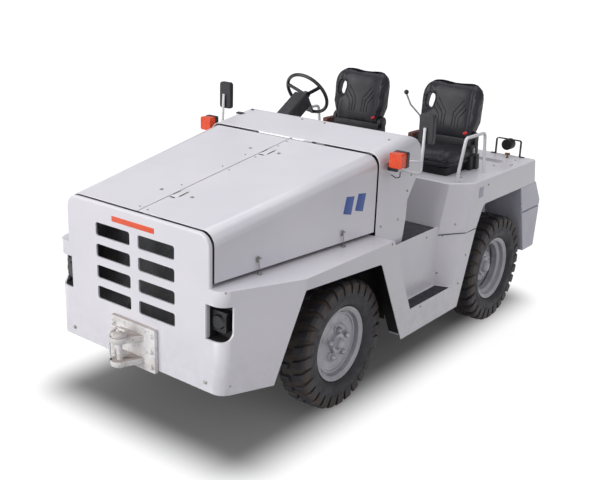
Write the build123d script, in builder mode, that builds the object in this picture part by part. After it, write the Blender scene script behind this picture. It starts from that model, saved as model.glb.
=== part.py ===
from build123d import *
import os
from math import atan2, cos, degrees, radians, sin, tan

os.makedirs("parts", exist_ok=True)

# Driving sizes in millimetres. +x is the vehicle's left, y runs from the nose to the rear, z is up
body_width = 1600
front_overhang = 936
wheelbase = 1793
rear_overhang = 621
front_reach = 166
rear_reach = 120
sheet = 6
plate = 10
seat_gap = 0.3
open_gap = 15

# Places that follow from the width and the axles, counted back from the nose
half = body_width / 2
axle_back = front_overhang + wheelbase
body_length = axle_back + rear_overhang

# Nose, hood and cowl
nose_bottom = 396
shelf_top = 957
nose_top = 1233
hood_length = front_overhang + 345
hood_rear_top = 1434
hood_front_half = half - 263
hood_rear_half = half - 148
hood_sheet = 4
hood_edge_radius = 75
nose_corner_radius = 80
nose_rim_radius = 12
nose_return = 22
hood_front_gap = 13
cheek_front_half = half - 186
kink_back = front_overhang - 500
shelf_length = front_overhang + 335
shelf_lap = 40
cowl_top_length = hood_length + 313
cowl_gap = 8
cowl_rise = 11

# Grille slots and headlamp openings
slot_width = 266
slot_height = 75
slot_pitch = 121
slot_first_top = 1122
slot_inner = 31
slot_corner = 14
slot_rows = 4
lamp_inner = half - 289
lamp_bottom = 687
lamp_top = 874
lamp_wrap = 66
lamp_corner = 50
housing_depth = 84
housing_wall = 3
headlamp_width = 92
headlamp_height = 112
headlamp_depth = 46

# Arches, steps and floor
arch_front_low_back = kink_back - 158
arch_front_top = 894
arch_rear_back = front_overhang + 211
arch_rear_top = 847
arch_rear_low_back = front_overhang + 484
arch_corner = 36
skirt_bottom = 286
post_low_back = arch_rear_low_back + 89
post_return = 48
step_top = 453
step_depth = 110
riser_x = half - step_depth
tread_thickness = 3
floor_top = 843
mat_thickness = 6
floor_sheet = 8
rail_drop = 52
rail_half = 42
rail_depth = 30
sill_lip = 14
rear_wall_back = axle_back - 739
strip_low_back = axle_back - 749
strip_top_back = axle_back - 564
rear_arch_low_back = axle_back - 600
rear_arch_back = axle_back - 421
seam_top = 797
firewall_back = hood_length + 115

# Rear cover, deck and weight
deck_top = 1122
deck_front_back = axle_back - 629
deck_side_front_back = axle_back - 494
deck_rear_back = axle_back + 471
cover_rear_low_back = axle_back + 507
cover_bottom_rear = 948
cover_corner_radius = 30
rear_arch_shoulder_back = axle_back - 339
rear_arch_corner = 60
pit_front_back = axle_back + 157
pit_length = 91
pit_outer = half - 148
pit_width = 252
pit_depth = 40
pit_wall = 4
weight_front_low_back = axle_back + 408
weight_front_top_back = axle_back + 250
weight_bottom = 430
weight_shoulder = 789
weight_rear_low_back = body_length - 34
weight_groove_z = 742
weight_groove = 8
hitch_seat = 34

# Running gear
tyre_radius = 388
tyre_width = 200
lug_depth = 18
lug_count = 28
bead_radius = 205
flange_radius = 224
flange_width = 140
front_flange_x = half - 113
front_disc_x = front_flange_x - 47
rear_flange_x = half - 46
rear_disc_x = rear_flange_x - 112
rim_wall = 7
spindle_radius = 24
rear_spindle_radius = 32
drum_radius = 150
kingpin_x = half - 300
kingpin_radius = 14
pin_clearance = 0.05
rail_outer = 270
rail_width = 40
rail_bottom = tyre_radius + 82
rail_height = 100
axle_drop = 10
spring_x = 245
spring_width = 50
spring_half = 380
spring_drop = 14
spring_middle = 24

# Engine, gearbox and radiator
engine_middle = front_overhang - 76
engine_width = 400
engine_length = 720
engine_bottom = rail_bottom - 20
engine_height = 620
engine_chamfer = 60
gearbox_middle = front_overhang + 564
gearbox_width = 300
gearbox_length = 600
gearbox_height = 360
mount_thickness = 24
radiator_back = 150
radiator_width = 640
radiator_height = 580
radiator_depth = 90
baffle_thickness = 4

# Seats, controls and small parts
seat_x = half - 420
seat_front_back = axle_back - 514
seat_rise = 50
cushion_width = 470
cushion_depth = 440
cushion_height = 112
cushion_fillet = 36
back_width = 470
back_foot = 370
back_shoulder = 150
back_height = 420
back_thickness = 92
back_lean = 6
back_start = 330
wheel_x = -seat_x
wheel_back = cowl_top_length + 346
wheel_rise = 54.6
wheel_radius = 158
wheel_grip = 12
column_lean = 58
column_length = 370
shroud_size = 110

# Values worked out from the driving sizes
nose_y = front_reach - (front_reach + body_length + rear_reach) / 2
roof_slope = (hood_rear_top - nose_top) / hood_length
roof_angle = degrees(atan2(hood_rear_top - nose_top, hood_length))
hood_flare = (hood_rear_half - hood_front_half) / hood_length
cheek_flare = (half - cheek_front_half) / kink_back
crown_z = nose_top + roof_slope * cowl_top_length
cushion_bottom = deck_top + seat_rise
tread_radius = tyre_radius - lug_depth


def at(back):
    """y of a point that lies this far behind the nose."""
    return nose_y + back


def roof(back):
    return nose_top + roof_slope * back


def hood_half(back):
    return hood_front_half + hood_flare * back


def on_line(low, high, z):
    """y where the line from low to high, both (y, z), passes height z."""
    return low[0] + (high[0] - low[0]) * (z - low[1]) / (high[1] - low[1])


def cross(back):
    """Upright plane across the vehicle, seen with x to the right and z up."""
    return Plane(origin=(0, at(back), 0), x_dir=(1, 0, 0), z_dir=(0, -1, 0))


def side(x):
    """Upright plane along the vehicle, with y and z as its own axes."""
    return Plane.YZ.offset(x)


def keep(piece, label):
    piece.part.label = label
    export_step(piece.part, f"parts/{label}.step")


front_y = at(front_overhang)
rear_y = at(front_overhang + wheelbase)
hub_z = tyre_radius
arch_front = ((at(arch_front_low_back), nose_bottom), (at(kink_back), arch_front_top))
arch_rear = ((at(arch_rear_low_back), skirt_bottom), (at(arch_rear_back), arch_rear_top))
post_rear = ((at(post_low_back), step_top), (at(shelf_length), shelf_top))
strip_front = ((at(strip_low_back), skirt_bottom), (at(strip_top_back), seam_top))
strip_rear = ((at(rear_arch_low_back), skirt_bottom), (at(rear_arch_back), seam_top))
weight_front = ((at(weight_front_low_back), weight_bottom), (at(weight_front_top_back), cover_bottom_rear))

# Nose panel: front plate with slots, rounded corners, flared cheeks and the shelf's front end
with BuildPart() as nose_upper:
    with BuildSketch(cross(0)) as upper_face:
        with Locations((0, (shelf_top - plate + nose_top) / 2)):
            Rectangle(2 * hood_front_half, nose_top - shelf_top + plate)
        fillet(upper_face.vertices().group_by(Axis.Y)[-1], hood_edge_radius)
    extrude(amount=-nose_return)
    rim = nose_upper.faces().sort_by(Axis.Y)[0].edges().filter_by(
        lambda edge: edge.center().Z > shelf_top - plate + 1)
    fillet(rim, nose_rim_radius)
    with BuildSketch(cross(plate)) as upper_hollow:
        with Locations((0, (shelf_top - plate + nose_top - plate) / 2)):
            Rectangle(2 * (hood_front_half - plate), nose_top - shelf_top)
        fillet(upper_hollow.vertices().group_by(Axis.Y)[-1], hood_edge_radius - plate)
    extrude(amount=-nose_return, mode=Mode.SUBTRACT)


def cheek_outline(inset):
    """Plan of the nose, from which the cheeks flare to the full width."""
    tail = kink_back + 2 * plate
    with BuildSketch() as plan:
        with BuildLine():
            Polyline((cheek_front_half + cheek_flare * tail, at(tail)), (cheek_front_half, nose_y),
                     (-cheek_front_half, nose_y), (-cheek_front_half - cheek_flare * tail, at(tail)), close=True)
        make_face()
        fillet(plan.vertices().group_by(Axis.Y)[0], nose_corner_radius)
        if inset:
            offset(amount=-inset)
        with Locations((0, at(kink_back + body_length / 2))):
            Rectangle(2 * body_width, body_length, mode=Mode.SUBTRACT)
    return plan.sketch


with BuildPart() as nose_panel:
    with BuildSketch(Plane.XY.offset(nose_bottom)):
        add(cheek_outline(0))
        add(cheek_outline(plate), mode=Mode.SUBTRACT)
    extrude(amount=shelf_top - nose_bottom)
    with BuildSketch(Plane.XY.offset(shelf_top)) as front_shelf:
        add(cheek_outline(0))
        with BuildLine():
            bay = [(hood_half(0) - shelf_lap, at(plate)), (hood_half(kink_back) - shelf_lap, at(2 * kink_back))]
            Polyline(bay[0], bay[1], (-bay[1][0], bay[1][1]), (-bay[0][0], bay[0][1]), close=True)
        make_face(mode=Mode.SUBTRACT)
    extrude(amount=-plate)
    add(nose_upper.part)
    with BuildSketch(cross(-1)):
        for row in range(slot_rows):
            slot_z = slot_first_top - slot_height / 2 - row * slot_pitch
            with Locations((slot_inner + slot_width / 2, slot_z), (-slot_inner - slot_width / 2, slot_z)):
                RectangleRounded(slot_width, slot_height, slot_corner)
    extrude(amount=-plate - 2, mode=Mode.SUBTRACT)
    for hand in (-1, 1):
        with BuildSketch(side(hand * lamp_inner)) as lamp_opening:
            with BuildLine():
                Polyline((at(-1), lamp_bottom), (at(lamp_wrap), lamp_bottom), (at(lamp_wrap), lamp_top),
                         (at(-1), lamp_top), close=True)
            make_face()
            fillet(lamp_opening.vertices().sort_by_distance((at(lamp_wrap), lamp_bottom, 0))[0], lamp_corner)
        extrude(amount=hand * (half - lamp_inner), mode=Mode.SUBTRACT)
    with BuildSketch(side(-half - 1)) as arch_cut:
        with BuildLine():
            Polyline(arch_front[0], arch_front[1], (at(kink_back + plate), arch_front_top),
                     (at(kink_back + plate), nose_bottom - 1), (arch_front[0][0], nose_bottom - 1), close=True)
        make_face()
    extrude(amount=body_width + 2, mode=Mode.SUBTRACT)
keep(nose_panel, "nose_panel")

# Open trays behind the nose that hold the headlamps
tray_inner = lamp_inner - 2 * housing_wall
tray_outer = cheek_front_half + 30
lamp_x = (lamp_inner + cheek_front_half) / 2
lamp_z = (lamp_bottom + lamp_top) / 2
with BuildPart() as lamp_housings:
    with BuildSketch(cross(plate + seat_gap)):
        with Locations(((tray_inner + tray_outer) / 2, lamp_z)):
            Rectangle(tray_outer - tray_inner, lamp_top - lamp_bottom + 4 * housing_wall)
    extrude(amount=-housing_depth)
    with BuildSketch(Plane.XY.offset(nose_bottom)):
        add(cheek_outline(plate + seat_gap))
    extrude(amount=shelf_top - nose_bottom, mode=Mode.INTERSECT)
    with BuildSketch(cross(0)):
        with Locations((lamp_inner + half / 2, lamp_z)):
            Rectangle(half, lamp_top - lamp_bottom + 2 * housing_wall)
    extrude(amount=housing_wall - plate - housing_depth, mode=Mode.SUBTRACT)
    mirror(about=Plane.YZ)
keep(lamp_housings, "lamp_housings")

# Side body: shelf, eyebrow over the front arch, post, step, riser and the strip ahead of the rear arch
with BuildPart() as side_body_left:
    with BuildSketch(side(half)) as skin:
        with BuildLine():
            Polyline((at(kink_back) + seat_gap, shelf_top), post_rear[1], post_rear[0],
                     (on_line(*strip_front, step_top), step_top), strip_front[1], strip_rear[1], strip_rear[0],
                     arch_rear[0], arch_rear[1], (at(kink_back) + seat_gap, arch_front_top), close=True)
        make_face()
        fillet(skin.vertices().sort_by_distance((*arch_rear[1], 0))[0], arch_corner)
    extrude(amount=-sheet)
    with BuildSketch(Plane.XY.offset(shelf_top)):
        with BuildLine():
            Polyline((hood_half(kink_back) - shelf_lap, at(kink_back) + seat_gap), (half, at(kink_back) + seat_gap),
                     (half, at(shelf_length)), (hood_half(shelf_length) - shelf_lap, at(shelf_length)), close=True)
        make_face()
    extrude(amount=-sheet)
    for (toe_y, toe_z), (head_y, head_z), shift in ((*post_rear, 0), (*arch_rear, post_return)):
        with BuildSketch(side(riser_x)):
            with BuildLine():
                Polyline((toe_y + shift, toe_z), (head_y + shift, head_z), (head_y + shift - sheet, head_z),
                         (toe_y + shift - sheet, toe_z), close=True)
            make_face()
        extrude(amount=half - riser_x)
    with BuildSketch(side(riser_x)):
        with BuildLine():
            lip_z = floor_top + sill_lip
            Polyline((on_line(*post_rear, lip_z) - sheet, lip_z), (post_rear[0][0] - sheet, step_top - sheet),
                     (at(rear_wall_back) + sheet, step_top - sheet), (at(rear_wall_back) + sheet, seam_top),
                     (at(rear_wall_back), seam_top), (at(rear_wall_back), lip_z), close=True)
        make_face()
    extrude(amount=-sheet)
    with BuildSketch(Plane.XY.offset(step_top)):
        with BuildLine():
            Polyline((riser_x, post_rear[0][0] - sheet), (half, post_rear[0][0] - sheet),
                     (half, on_line(*strip_front, step_top)), (riser_x, at(rear_wall_back)), close=True)
        make_face()
    extrude(amount=-sheet)
    for z in (step_top - sheet, seam_top):
        with BuildSketch(Plane.XY.offset(z)):
            with BuildLine():
                wall_y = on_line(*strip_front, z)
                Polyline((riser_x - sheet, at(rear_wall_back)), (half, wall_y), (half, wall_y + sheet),
                         (riser_x - sheet, at(rear_wall_back) + sheet), close=True)
            make_face()
    loft(ruled=True)
keep(side_body_left, "side_body_left")

with BuildPart() as side_body_right:
    add(mirror(side_body_left.part, Plane.YZ, mode=Mode.PRIVATE))
keep(side_body_right, "side_body_right")

# Floor pan with its firewall and the splash walls behind the front wheels
with BuildPart() as floor_pan:
    pan_half = riser_x - sheet - seat_gap
    pan_z = floor_top - mat_thickness
    pan_rear = rear_wall_back - seat_gap
    with BuildSketch(Plane.XY.offset(pan_z)):
        with Locations((0, at((firewall_back + pan_rear) / 2))):
            Rectangle(2 * pan_half, pan_rear - firewall_back)
    extrude(amount=-floor_sheet)
    with BuildSketch(cross(firewall_back)) as walls:
        wall_half = hood_half(firewall_back) - 2 * sheet
        wall_top = roof(firewall_back) - rail_drop
        with Locations((0, (pan_z + wall_top) / 2)):
            Rectangle(2 * wall_half, wall_top - pan_z)
        for hand in (-1, 1):
            with Locations((hand * (rail_outer + 20 + pan_half) / 2, (nose_bottom + pan_z) / 2)):
                Rectangle(pan_half - rail_outer - 20, pan_z - nose_bottom)
        fillet(walls.vertices().group_by(Axis.Y)[-1], hood_edge_radius - rail_drop + 2 * sheet)
    extrude(amount=-sheet)
keep(floor_pan, "floor_pan")

with BuildPart() as floor_mat:
    with BuildSketch(Plane.XY.offset(floor_top)):
        mat_front = cowl_top_length + 30
        with Locations((0, at((mat_front + pan_rear) / 2))):
            Rectangle(2 * pan_half, pan_rear - mat_front)
        with Locations((0, at((firewall_back + sheet + mat_front) / 2))):
            Rectangle(2 * (hood_half(firewall_back) - 3 * sheet), mat_front - firewall_back - sheet)
    extrude(amount=-mat_thickness)
keep(floor_mat, "floor_mat")

with BuildPart() as step_pads:
    with BuildSketch(Plane.XY.offset(step_top)):
        with BuildLine():
            Polyline((riser_x + 14, post_rear[0][0] + 4), (half - 10, post_rear[0][0] + 4),
                     (half - 10, on_line(*strip_front, step_top) - 32), (riser_x + 14, at(rear_wall_back) - 14),
                     close=True)
        make_face()
    extrude(amount=tread_thickness)
    mirror(about=Plane.YZ)
keep(step_pads, "step_pads")


# Hood halves: sloped skin with a rounded edge, hung on pins beside the centre seam
hood_front_back = nose_return + hood_front_gap
hood_rear_back = hood_length - cowl_gap
hood_hem = shelf_top + 20
hinge_x = 36
hinge_depth = 12
hinge_pin_radius = 5
hinge_barrel_radius = 9
hinge_barrel_length = 60
hinge_backs = (hood_front_back + 295, hood_rear_back - 263)
hood_seam = 3


def hood_section(back):
    width = hood_half(back)
    top = roof(back)
    inner = hood_edge_radius - hood_sheet
    with BuildSketch(cross(back)) as section:
        with BuildLine():
            roof_line = Line((hood_seam, top), (width - hood_edge_radius, top))
            corner = TangentArc(roof_line @ 1, (width, top - hood_edge_radius), tangent=(1, 0))
            outer_side = Line(corner @ 1, (width, hood_hem))
            hem = Line(outer_side @ 1, (width - hood_sheet, hood_hem))
            inner_side = Line(hem @ 1, (width - hood_sheet, top - hood_edge_radius))
            inner_corner = TangentArc(inner_side @ 1, (width - hood_edge_radius, top - hood_sheet), tangent=(0, 1))
            under = Line(inner_corner @ 1, (hood_seam, top - hood_sheet))
            Line(under @ 1, roof_line @ 0)
        make_face()
    return section.sketch


def hinge_plane(back, hand):
    """Plane across a hinge pin's axis, its normal along the sloped seam."""
    slope = radians(roof_angle)
    return Plane(origin=(hand * hinge_x, at(back), roof(back) - hinge_depth), x_dir=(1, 0, 0),
                 z_dir=(0, cos(slope), sin(slope)))


with BuildPart() as hood_left:
    add(hood_section(hood_front_back))
    add(hood_section(hood_rear_back))
    loft(ruled=True)
    for back in hinge_backs:
        with BuildSketch(hinge_plane(back, 1)) as barrel:
            Circle(hinge_barrel_radius)
            with Locations((0, -hinge_barrel_radius / 2 - 1)):
                Rectangle(2 * hinge_barrel_radius, hinge_barrel_radius + 2)
        extrude(amount=hinge_barrel_length / 2, both=True)
        with BuildSketch(hinge_plane(back, 1)):
            Circle(hinge_pin_radius + pin_clearance)
        extrude(amount=hinge_barrel_length, both=True, mode=Mode.SUBTRACT)
keep(hood_left, "hood_left")

with BuildPart() as hood_right:
    add(mirror(hood_left.part, Plane.YZ, mode=Mode.PRIVATE))
keep(hood_right, "hood_right")

# Sloped rail under the seam, with the lugs and pins of the hinges
with BuildPart() as hood_rail:
    with BuildSketch(side(-rail_half)):
        with BuildLine():
            start, end = plate + seat_gap, firewall_back - seat_gap
            Polyline((at(start), roof(start) - rail_drop), (at(end), roof(end) - rail_drop),
                     (at(end), roof(end) - rail_drop - rail_depth),
                     (at(start), roof(start) - rail_drop - rail_depth), close=True)
        make_face()
    extrude(amount=2 * rail_half)
    for back in hinge_backs:
        for hand in (-1, 1):
            for shift in (-1, 1):
                lug_back = back + shift * (hinge_barrel_length / 2 + 9)
                with BuildSketch(hinge_plane(lug_back, hand)):
                    Circle(hinge_pin_radius + 2)
                    with Locations((0, (rail_drop - hinge_depth) / 2 + 2)):
                        Rectangle(9, rail_drop - hinge_depth + 4)
                extrude(amount=4, both=True)
            with BuildSketch(hinge_plane(back, hand)):
                Circle(hinge_pin_radius)
            extrude(amount=hinge_barrel_length / 2 + 13, both=True)
keep(hood_rail, "hood_rail")

# Steering column, which stands in a notch of the cowl and of the dash
wheel_height = roof(wheel_back) + wheel_rise
column_plane = Plane(origin=(wheel_x, at(wheel_back), wheel_height), x_dir=(1, 0, 0),
                     z_dir=(0, sin(radians(column_lean)), cos(radians(column_lean))))
hub_gap = 40
shroud_start = 60
shroud_end = column_length - 70
with BuildPart() as steering_column:
    with BuildSketch(column_plane.offset(-hub_gap)):
        Circle(30)
    extrude(amount=hub_gap - column_length)
    with BuildSketch(column_plane.offset(-shroud_start)):
        RectangleRounded(shroud_size, shroud_size, 18)
    extrude(amount=shroud_start - shroud_end)
    with BuildSketch(column_plane.offset(-hub_gap - 2)):
        RectangleRounded(shroud_size - 40, shroud_size - 40, 14)
    with BuildSketch(column_plane.offset(-shroud_start)):
        RectangleRounded(shroud_size, shroud_size, 18)
    loft(ruled=True)
keep(steering_column, "steering_column")

with BuildPart() as column_notch:
    with BuildSketch(column_plane.offset(-shroud_start)):
        RectangleRounded(shroud_size + 2 * seat_gap, shroud_size + 2 * seat_gap, 18)
    extrude(amount=-column_length)

# Cowl: hollow bent cover between hood and footwell, its sides bulging back at the top
cowl_half = hood_rear_half + cowl_gap
cowl_side = (
    # behind the crown, below the crown
    (147, 121),
    (169, 183),
    (107, 255),
    (22, 377),
    (17, 491),
    (-12, crown_z - floor_top + mat_thickness - seat_gap),
)


def cowl_profile(inset):
    lift = cowl_rise - inset
    crown_back = cowl_top_length - inset
    edge_points = [(at(crown_back + behind), crown_z - below) for behind, below in cowl_side]
    with BuildLine() as profile:
        front = at(hood_length)
        top_line = Line((front, roof(hood_length) + lift), (at(crown_back), crown_z + lift))
        crown = TangentArc(top_line @ 1, (edge_points[0][0], edge_points[0][1] - inset), tangent=top_line % 1)
        edge = Polyline(crown @ 1, *edge_points[1:])
        foot = Line(edge @ 1, (front, edge_points[-1][1]))
        Line(foot @ 1, top_line @ 0)
    return profile.line


def cowl_form(inset):
    """Closed form of the cowl, or of its hollow when inset by the sheet."""
    with BuildPart() as form:
        with BuildSketch(side(-cowl_half + inset)):
            with BuildLine():
                add(cowl_profile(inset))
            make_face()
        extrude(amount=2 * (cowl_half - inset))
        with BuildSketch(cross(hood_length)) as section:
            with Locations((0, roof(hood_length) + cowl_rise - inset - nose_top / 2)):
                Rectangle(2 * (cowl_half - inset), nose_top)
            fillet(section.vertices().group_by(Axis.Y)[-1], hood_edge_radius - inset)
        extrude(amount=nose_top, dir=(0, 1, roof_slope), mode=Mode.INTERSECT)
    return form.part


dash_below = 193
dash_height = 280
cowl_hollow = cowl_form(hood_sheet)
with BuildPart() as cowl:
    add(cowl_form(0))
    add(cowl_hollow, mode=Mode.SUBTRACT)
    with BuildSketch(side(-cowl_half + hood_sheet)):
        with BuildLine():
            low, high = floor_top - 2 * mat_thickness, roof(hood_length) - rail_drop
            mouth_z = crown_z - dash_below
            Polyline((at(hood_length) - 1, low), (at(hood_length) - 1, high), (at(firewall_back), high),
                     (at(2 * cowl_top_length), mouth_z), (at(2 * cowl_top_length), low), close=True)
        make_face()
    extrude(amount=2 * (cowl_half - hood_sheet), mode=Mode.SUBTRACT)
    add(column_notch.part, mode=Mode.SUBTRACT)
keep(cowl, "cowl")

# Dash panel inside the cowl, facing the seats
with BuildPart() as dash_panel:
    with BuildSketch(side(-cowl_half + hood_sheet + seat_gap)):
        with BuildLine():
            dash_top, dash_low = crown_z - dash_below, crown_z - dash_below - dash_height
            dash_back = cowl_top_length + 106
            Polyline((at(dash_back), dash_top), (at(dash_back) + sheet, dash_top),
                     (at(dash_back - 110), dash_low), (at(dash_back - 110) - sheet, dash_low), close=True)
        make_face()
    extrude(amount=2 * (cowl_half - hood_sheet - seat_gap))
    add(column_notch.part, mode=Mode.SUBTRACT)
keep(dash_panel, "dash_panel")

# Rear cover: deck, front face with swept corners, sides with the wheel arches, sloped tail
def cover_outline(z, inset):
    """Plan of the rear cover at height z, drawn from its front, side and tail slopes."""
    def slide(low, high):
        return low + (high - low) * (z - seam_top) / (deck_top - seam_top)
    front = at(slide(rear_wall_back, deck_front_back)) + inset
    corner = at(slide(strip_top_back, deck_side_front_back)) + inset
    tail_low = cover_rear_low_back + (cover_rear_low_back - deck_rear_back) * (cover_bottom_rear - seam_top) / (
        deck_top - cover_bottom_rear)
    tail = at(slide(tail_low, deck_rear_back)) - inset
    edge = half - inset
    knee = riser_x - sheet - inset / 2
    with BuildSketch(Plane.XY.offset(z)) as plan:
        with BuildLine():
            Polyline((-knee, front), (knee, front), (edge, corner), (edge, tail), (-edge, tail), (-edge, corner),
                     close=True)
        make_face()
        fillet(plan.vertices().group_by(Axis.Y)[-1], cover_corner_radius)
    return plan.sketch


with BuildPart() as cover_hollow:
    add(cover_outline(seam_top - 1, sheet))
    add(cover_outline(deck_top - sheet, sheet))
    loft(ruled=True)
with BuildPart() as rear_cover:
    add(cover_outline(seam_top, 0))
    add(cover_outline(deck_top, 0))
    loft(ruled=True)
    fillet(rear_cover.faces().sort_by(Axis.Z)[-1].edges(), sheet * 2)
    add(cover_hollow.part, mode=Mode.SUBTRACT)
    with BuildSketch(side(-half - 1)) as wheel_opening:
        with BuildLine():
            Polyline(strip_rear[1], (at(rear_arch_shoulder_back), cover_bottom_rear),
                     (at(body_length), cover_bottom_rear), (at(body_length), seam_top - 1),
                     (strip_rear[1][0], seam_top - 1), close=True)
        make_face()
        shoulder = (at(rear_arch_shoulder_back), cover_bottom_rear, 0)
        fillet(wheel_opening.vertices().sort_by_distance(shoulder)[0], rear_arch_corner)
    extrude(amount=body_width + 2, mode=Mode.SUBTRACT)
    pit = (pit_outer - pit_width / 2, at(pit_front_back + pit_length / 2))
    with BuildSketch(Plane.XY.offset(deck_top - pit_depth)):
        with Locations(pit):
            RectangleRounded(pit_width + 2 * pit_wall, pit_length + 2 * pit_wall, 14)
    extrude(amount=pit_depth - 1)
    with BuildSketch(Plane.XY.offset(deck_top - pit_depth + pit_wall)):
        with Locations(pit):
            RectangleRounded(pit_width, pit_length, 10)
    extrude(amount=pit_depth, mode=Mode.SUBTRACT)
keep(rear_cover, "rear_cover")

# Rear weight: one casting across the tail, with a groove and a flat seat for the hitch
hitch_half = 170
hitch_plate = 25
with BuildPart() as rear_weight:
    with BuildSketch(side(-half)) as weight_side:
        with BuildLine():
            Polyline(weight_front[0], weight_front[1], (at(cover_rear_low_back) + 4, cover_bottom_rear - seat_gap),
                     (at(body_length), weight_shoulder), (at(weight_rear_low_back), weight_bottom), close=True)
        make_face()
    extrude(amount=body_width)
    with BuildSketch(Plane.XY.offset(weight_groove_z)):
        with Locations((0, at(body_length))):
            Rectangle(2 * body_width, 2 * rear_overhang)
            Rectangle(body_width - 2 * weight_groove, 2 * hitch_seat, mode=Mode.SUBTRACT)
        with Locations((0, at(body_length - rear_overhang / 2) - weight_groove - 1)):
            Rectangle(body_width - 2 * weight_groove, rear_overhang, mode=Mode.SUBTRACT)
    extrude(amount=weight_groove, mode=Mode.SUBTRACT)
    with BuildSketch(cross(body_length - hitch_seat)):
        with Locations((0, weight_bottom + hitch_half)):
            Rectangle(2 * hitch_half + 2, 2 * hitch_half)
    extrude(amount=-2 * hitch_seat, mode=Mode.SUBTRACT)
keep(rear_weight, "rear_weight")

# Chassis frame: two rails, cross members, nose bracket
with BuildPart() as chassis_frame:
    frame_front = plate + seat_gap
    frame_rear = on_line(*weight_front, rail_bottom + rail_height) - nose_y - seat_gap
    with BuildSketch(cross(frame_front)):
        for hand in (-1, 1):
            with Locations((hand * (rail_outer - rail_width / 2), rail_bottom + rail_height / 2)):
                Rectangle(rail_width, rail_height)
    extrude(amount=-(frame_rear - frame_front))
    for back, depth in ((frame_front, 12), (front_overhang - 541, rail_width), (rear_wall_back - 10, rail_width),
                        (frame_rear - rail_width, rail_width)):
        with BuildSketch(cross(back)):
            with Locations((0, rail_bottom + rail_height / 2)):
                Rectangle(2 * rail_outer, rail_height)
        extrude(amount=-depth)
keep(chassis_frame, "chassis_frame")

# Tub that carries deck and seats, its walls seen through the rear arches
with BuildPart() as rear_tub:
    tub_front, tub_rear = deck_front_back + 14, weight_front_top_back - open_gap
    tub_half, tub_bottom = half - 260, rail_bottom + rail_height + seat_gap
    with BuildSketch(Plane.XY.offset(tub_bottom)):
        with Locations((0, at((tub_front + tub_rear) / 2))):
            Rectangle(2 * tub_half, tub_rear - tub_front)
            Rectangle(2 * (tub_half - sheet), tub_rear - tub_front - 2 * sheet, mode=Mode.SUBTRACT)
    extrude(amount=deck_top - sheet - seat_gap - tub_bottom)
    with BuildSketch(Plane.XY.offset(deck_top)):
        with Locations(pit):
            Rectangle(pit_width + 2 * open_gap, pit_length + 2 * open_gap)
    extrude(amount=-pit_depth - open_gap, mode=Mode.SUBTRACT)
keep(rear_tub, "rear_tub")

# Engine and gearbox as plain blocks, radiator behind the slots
with BuildPart() as engine:
    with BuildSketch(Plane.XY.offset(engine_bottom)):
        with Locations((0, at(engine_middle))):
            Rectangle(engine_width, engine_length)
    extrude(amount=engine_height)
    chamfer(engine.faces().sort_by(Axis.Z)[-1].edges().filter_by(Axis.Y), engine_chamfer)
    with BuildSketch(Plane.XY.offset(engine_bottom - plate)):
        with Locations((0, at(gearbox_middle))):
            Rectangle(gearbox_width, gearbox_length)
    extrude(amount=gearbox_height)
    with BuildSketch(Plane.XY.offset(rail_bottom + rail_height + seat_gap)):
        with Locations((0, at(engine_middle - 160)), (0, at(gearbox_middle + 150))):
            Rectangle(2 * (rail_outer - rail_width / 2), 60)
    extrude(amount=mount_thickness)
keep(engine, "engine")

with BuildPart() as radiator:
    with BuildSketch(cross(radiator_back)):
        core_bottom = rail_bottom + rail_height + seat_gap
        with Locations((0, core_bottom + radiator_height / 2)):
            Rectangle(radiator_width, radiator_height)
    extrude(amount=-radiator_depth)
    with BuildSketch(cross(radiator_back)):
        with Locations((0, core_bottom + radiator_height / 2)):
            Rectangle(2 * (hood_half(radiator_back) - shelf_lap - open_gap), radiator_height)
    extrude(amount=-baffle_thickness)
keep(radiator, "radiator")


# Axles, springs and steering
def spring_pair(centre_y, seat_z):
    """Leaf packs, left and right, that sit on an axle and hang from the rails by their ends."""
    eye_z = rail_bottom - spring_drop
    shackle_top, shackle_bottom = rail_bottom - seat_gap, eye_z - 10
    with BuildPart() as pair:
        with BuildSketch(side(spring_x - spring_width / 2)):
            with BuildLine():
                top = ThreePointArc((centre_y - spring_half, eye_z), (centre_y, seat_z + spring_middle),
                                    (centre_y + spring_half, eye_z))
                low = ThreePointArc((centre_y + spring_half, eye_z - 8), (centre_y, seat_z),
                                    (centre_y - spring_half, eye_z - 8))
                Line(top @ 1, low @ 0)
                Line(low @ 1, top @ 0)
            make_face()
            with Locations((centre_y - spring_half, (shackle_top + shackle_bottom) / 2),
                           (centre_y + spring_half, (shackle_top + shackle_bottom) / 2)):
                Rectangle(30, shackle_top - shackle_bottom)
        extrude(amount=spring_width)
        mirror(about=Plane.YZ)
    return pair.part


beam_z = hub_z - axle_drop
beam_height = 60
boss_half = 42
with BuildPart() as front_axle:
    with BuildSketch(cross(front_overhang + 30)):
        with Locations((0, beam_z)):
            Rectangle(2 * kingpin_x, beam_height)
    extrude(amount=60)
    for hand in (-1, 1):
        with BuildSketch(Plane.XY.offset(hub_z - boss_half)):
            with Locations((hand * kingpin_x, front_y)):
                Circle(30)
        extrude(amount=2 * boss_half)
    for hand in (-1, 1):
        with BuildSketch(Plane.XY.offset(hub_z - boss_half - 1)):
            with Locations((hand * kingpin_x, front_y)):
                Circle(kingpin_radius + pin_clearance)
        extrude(amount=2 * boss_half + 2, mode=Mode.SUBTRACT)
keep(front_axle, "front_axle")

with BuildPart() as front_springs:
    add(spring_pair(front_y, beam_z + beam_height / 2 + seat_gap))
keep(front_springs, "front_springs")

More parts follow.
